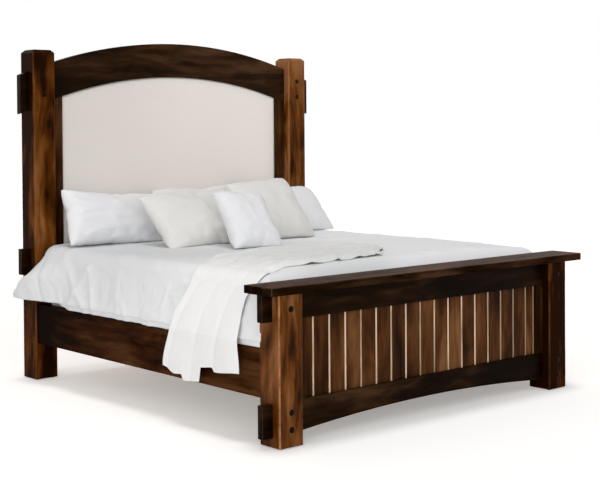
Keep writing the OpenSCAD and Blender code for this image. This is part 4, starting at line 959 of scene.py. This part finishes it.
# Slack creases of a filled case, deeper towards its seam
def crumple(build, size, seed, slack):
    deep = 0.004 + 0.004 * slack
    for vertex in build.verts:
        u, v = 2 * vertex.co.x / size[0], 2 * vertex.co.y / size[1]
        side = 1 if vertex.co.z > 0 else -1
        rim = max(abs(u), abs(v))
        amount = smooth(abs(vertex.co.z) / (0.2 * size[2]))
        warp = 0.4 * fractal(u * 1.3, v * 1.3, seed + 3)
        lines = crease(u * 1.6 + warp, v * 2.6 - warp, seed, 0.3)
        radial = crease(math.atan2(v, u) * 2.6 + warp, rim * 0.8, seed + 5, 0.25) * smooth((rim - 0.35) / 0.4)
        vertex.co.z += side * amount * deep * (lines - radial + fractal(u * 2, v * 2, seed + 8))


# How far a point moves back from a limit that it is past
def press(past):
    return 0.98 * (past + filling["gap"]) if past > -filling["gap"] else 0.0


# Outward normal of a plane that limits a pillow, and the plane's distance along it
def planeOf(kind, place, leanBack=0):
    upright = {"before": Vector((0, 1, 0)), "left": Vector((1, 0, 0)), "right": Vector((-1, 0, 0))}
    if kind in upright:
        return upright[kind], (-place if kind == "right" else place) - 0.0005
    lean = math.radians(leanBack)
    normal = Vector((0, math.cos(lean), -math.sin(lean)))
    reach = place * math.cos(lean) - bedTop * math.sin(lean)
    return (normal, reach - 0.0005) if kind == "front" else (-normal, -reach - 0.0005)


def makePillow(name, facts, cloth):
    size = facts["size"]
    build, cut = blowUp(name, size)
    fitTo(build, size)
    letOut(build, size, facts["square"])
    firm = facts["firm"]
    for vertex, spot in zip(build.verts, cut):
        vertex.co = vertex.co.lerp(plainPoint(*spot, size), firm)
    crumple(build, size, facts["at"][0], 1.2 - firm)
    turn, lean, roll = (math.radians(a) for a in facts["pose"])
    rolled = Matrix.Rotation(roll, 3, "Z")
    across = Vector((math.cos(turn), math.sin(turn), 0))
    back = Vector((-math.sin(turn), math.cos(turn), 0))
    rise = math.cos(lean) * Vector((0, 0, 1)) + math.sin(lean) * back
    out = math.sin(lean) * Vector((0, 0, 1)) - math.cos(lean) * back
    foot = Vector((*facts["at"], bedTop - filling["sink"]))
    planes = [planeOf(*rule) for rule in facts["planes"]]
    for vertex in build.verts:
        flat = rolled @ Vector((vertex.co.x, vertex.co.y + size[1] / 2, 0))
        point = foot + flat.x * across + flat.y * rise + vertex.co.z * out
        point.z += press(bedTop + filling["overDuvet"] + puff(point.x, point.y) - point.z)
        for normal, reach in planes:
            level = Vector((normal.x, normal.y, 0))
            point -= level * (press(point.dot(normal) - reach) / level.dot(normal))
        vertex.co = point
    bmesh.ops.recalc_face_normals(build, faces=build.faces)
    piece = addPiece(name + "_case", build, cloth, name)
    finer = piece.modifiers.new("finer", "SUBSURF")
    finer.levels = finer.render_levels = 1
    return piece


cover = makeDuvet()
print("duvet laid")
blanket = makeThrow()
print("throw laid")
cushion = makeUpholstery()
ticking = clothMaterial("mattressCloth", **mattress["cloth"])
body = makeMattress(ticking)
baseLeft = makeBase("left", ticking)
baseRight = makeBase("right", ticking)
print("upholstery, mattress and bases made")
caseCloth = {tint: clothMaterial("pillow" + tint.title(), **look) for tint, look in pillowCloth.items()}
for name, facts in pillows.items():
    makePillow(name, facts, caseCloth[facts["tint"]])
    print(name, "placed")


# The glow is light that only the camera sees, and turns the floor white
floor = {"half": 30.0, "tone": (0.985, 0.98, 0.972), "glow": 0.265, "cast": (1.0, 0.98, 0.955)}


def addFloor():
    build = bmesh.new()
    bmesh.ops.create_grid(build, x_segments=1, y_segments=1, size=floor["half"])
    plane = meshObject("studioFloor", build)
    material = bpy.data.materials.new("floorPaint")
    material.use_nodes = True
    tree = material.node_tree
    tree.nodes.clear()
    matt = addNode(tree, "BsdfDiffuse", {"Color": (*floor["tone"], 1)})
    path = addNode(tree, "LightPath")
    strength = calc(tree, "MULTIPLY", path.outputs["Is Camera Ray"], floor["glow"])
    glow = addNode(tree, "Emission", {"Color": (*floor["cast"], 1), "Strength": strength})
    both = addNode(tree, "AddShader", {0: matt.outputs[0], 1: glow.outputs[0]})
    out = addNode(tree, "OutputMaterial")
    tree.links.new(both.outputs[0], out.inputs["Surface"])
    plane.data.materials.append(material)


# A way is a direction, and an edge the cosines between which the light fades in
lights = {
    "base": 0.24,
    "window": 1.8, "windowWay": (-0.707, -0.707, 0), "windowEdge": (0.45, 0.85),
    "wall": 0.4, "wallWay": (0.35, 0.94, 0), "wallEdge": (0.1, 0.9), "wallTone": (1.0, 0.8, 0.68),
    "sun": 0.95, "angle": 14.0,
}


# A dim room with a broad window in front on the left and a paler wall behind
def addSky():
    world = bpy.data.worlds.new("studioSky")
    scene.world = world
    world.use_nodes = True
    tree = world.node_tree
    sky = tree.nodes["Background"]
    way = addNode(tree, "TexCoord").outputs["Generated"]

    def facing(direction, edge):
        return remap(tree, vectorCalc(tree, "DOT_PRODUCT", way, direction), *edge)

    bright = facing(lights["windowWay"], lights["windowEdge"])
    warm = facing(lights["wallWay"], lights["wallEdge"])
    glow = calc(tree, "MULTIPLY_ADD", bright, lights["window"], lights["base"])
    glow = calc(tree, "MULTIPLY_ADD", warm, lights["wall"], glow)
    path = addNode(tree, "LightPath")
    seen = calc(tree, "MAXIMUM", path.outputs["Is Camera Ray"], path.outputs["Is Transmission Ray"])
    seen = calc(tree, "MAXIMUM", seen, path.outputs["Is Glossy Ray"])
    strength = calc(tree, "MULTIPLY_ADD", seen, calc(tree, "SUBTRACT", 1.0, glow), glow)
    dim = calc(tree, "MULTIPLY", warm, calc(tree, "SUBTRACT", 1.0, seen))
    tree.links.new(blendColour(tree, dim, (1, 1, 1), lights["wallTone"]), sky.inputs["Color"])
    tree.links.new(strength, sky.inputs["Strength"])


def addSun():
    lamp = bpy.data.lights.new("ceilingLight", "SUN")
    lamp.energy = lights["sun"]
    lamp.angle = math.radians(lights["angle"])
    addObject("ceilingLight", lamp).location = (0, 0, 5)


camera = {
    "azimuth": -40.986, "elevation": 1.066, "roll": -0.385,
    "place": (-4.844, -5.678, 1.501), "lens": 78.29, "shift": (-0.00075, -0.175),
}


def addCamera():
    azimuth, elevation, roll = (math.radians(camera[k]) for k in ("azimuth", "elevation", "roll"))
    back = Vector((math.sin(azimuth) * math.cos(elevation), -math.cos(azimuth) * math.cos(elevation),
                   math.sin(elevation)))
    right = (-back).cross(Vector((0, 0, 1))).normalized()
    up = right.cross(-back)
    right, up = (right * math.cos(roll) + up * math.sin(roll), up * math.cos(roll) - right * math.sin(roll))
    lens = bpy.data.cameras.new("photoCamera")
    lens.sensor_fit = "HORIZONTAL"
    lens.sensor_width = 36
    lens.lens = camera["lens"]
    lens.shift_x, lens.shift_y = camera["shift"]
    holder = addObject("photoCamera", lens)
    place = Matrix((right, up, back)).transposed().to_4x4()
    place.translation = Vector(camera["place"])
    holder.matrix_world = place
    scene.camera = holder


scene.view_settings.view_transform = "Standard"
addFloor()
addSky()
addSun()
addCamera()
print("studio set")
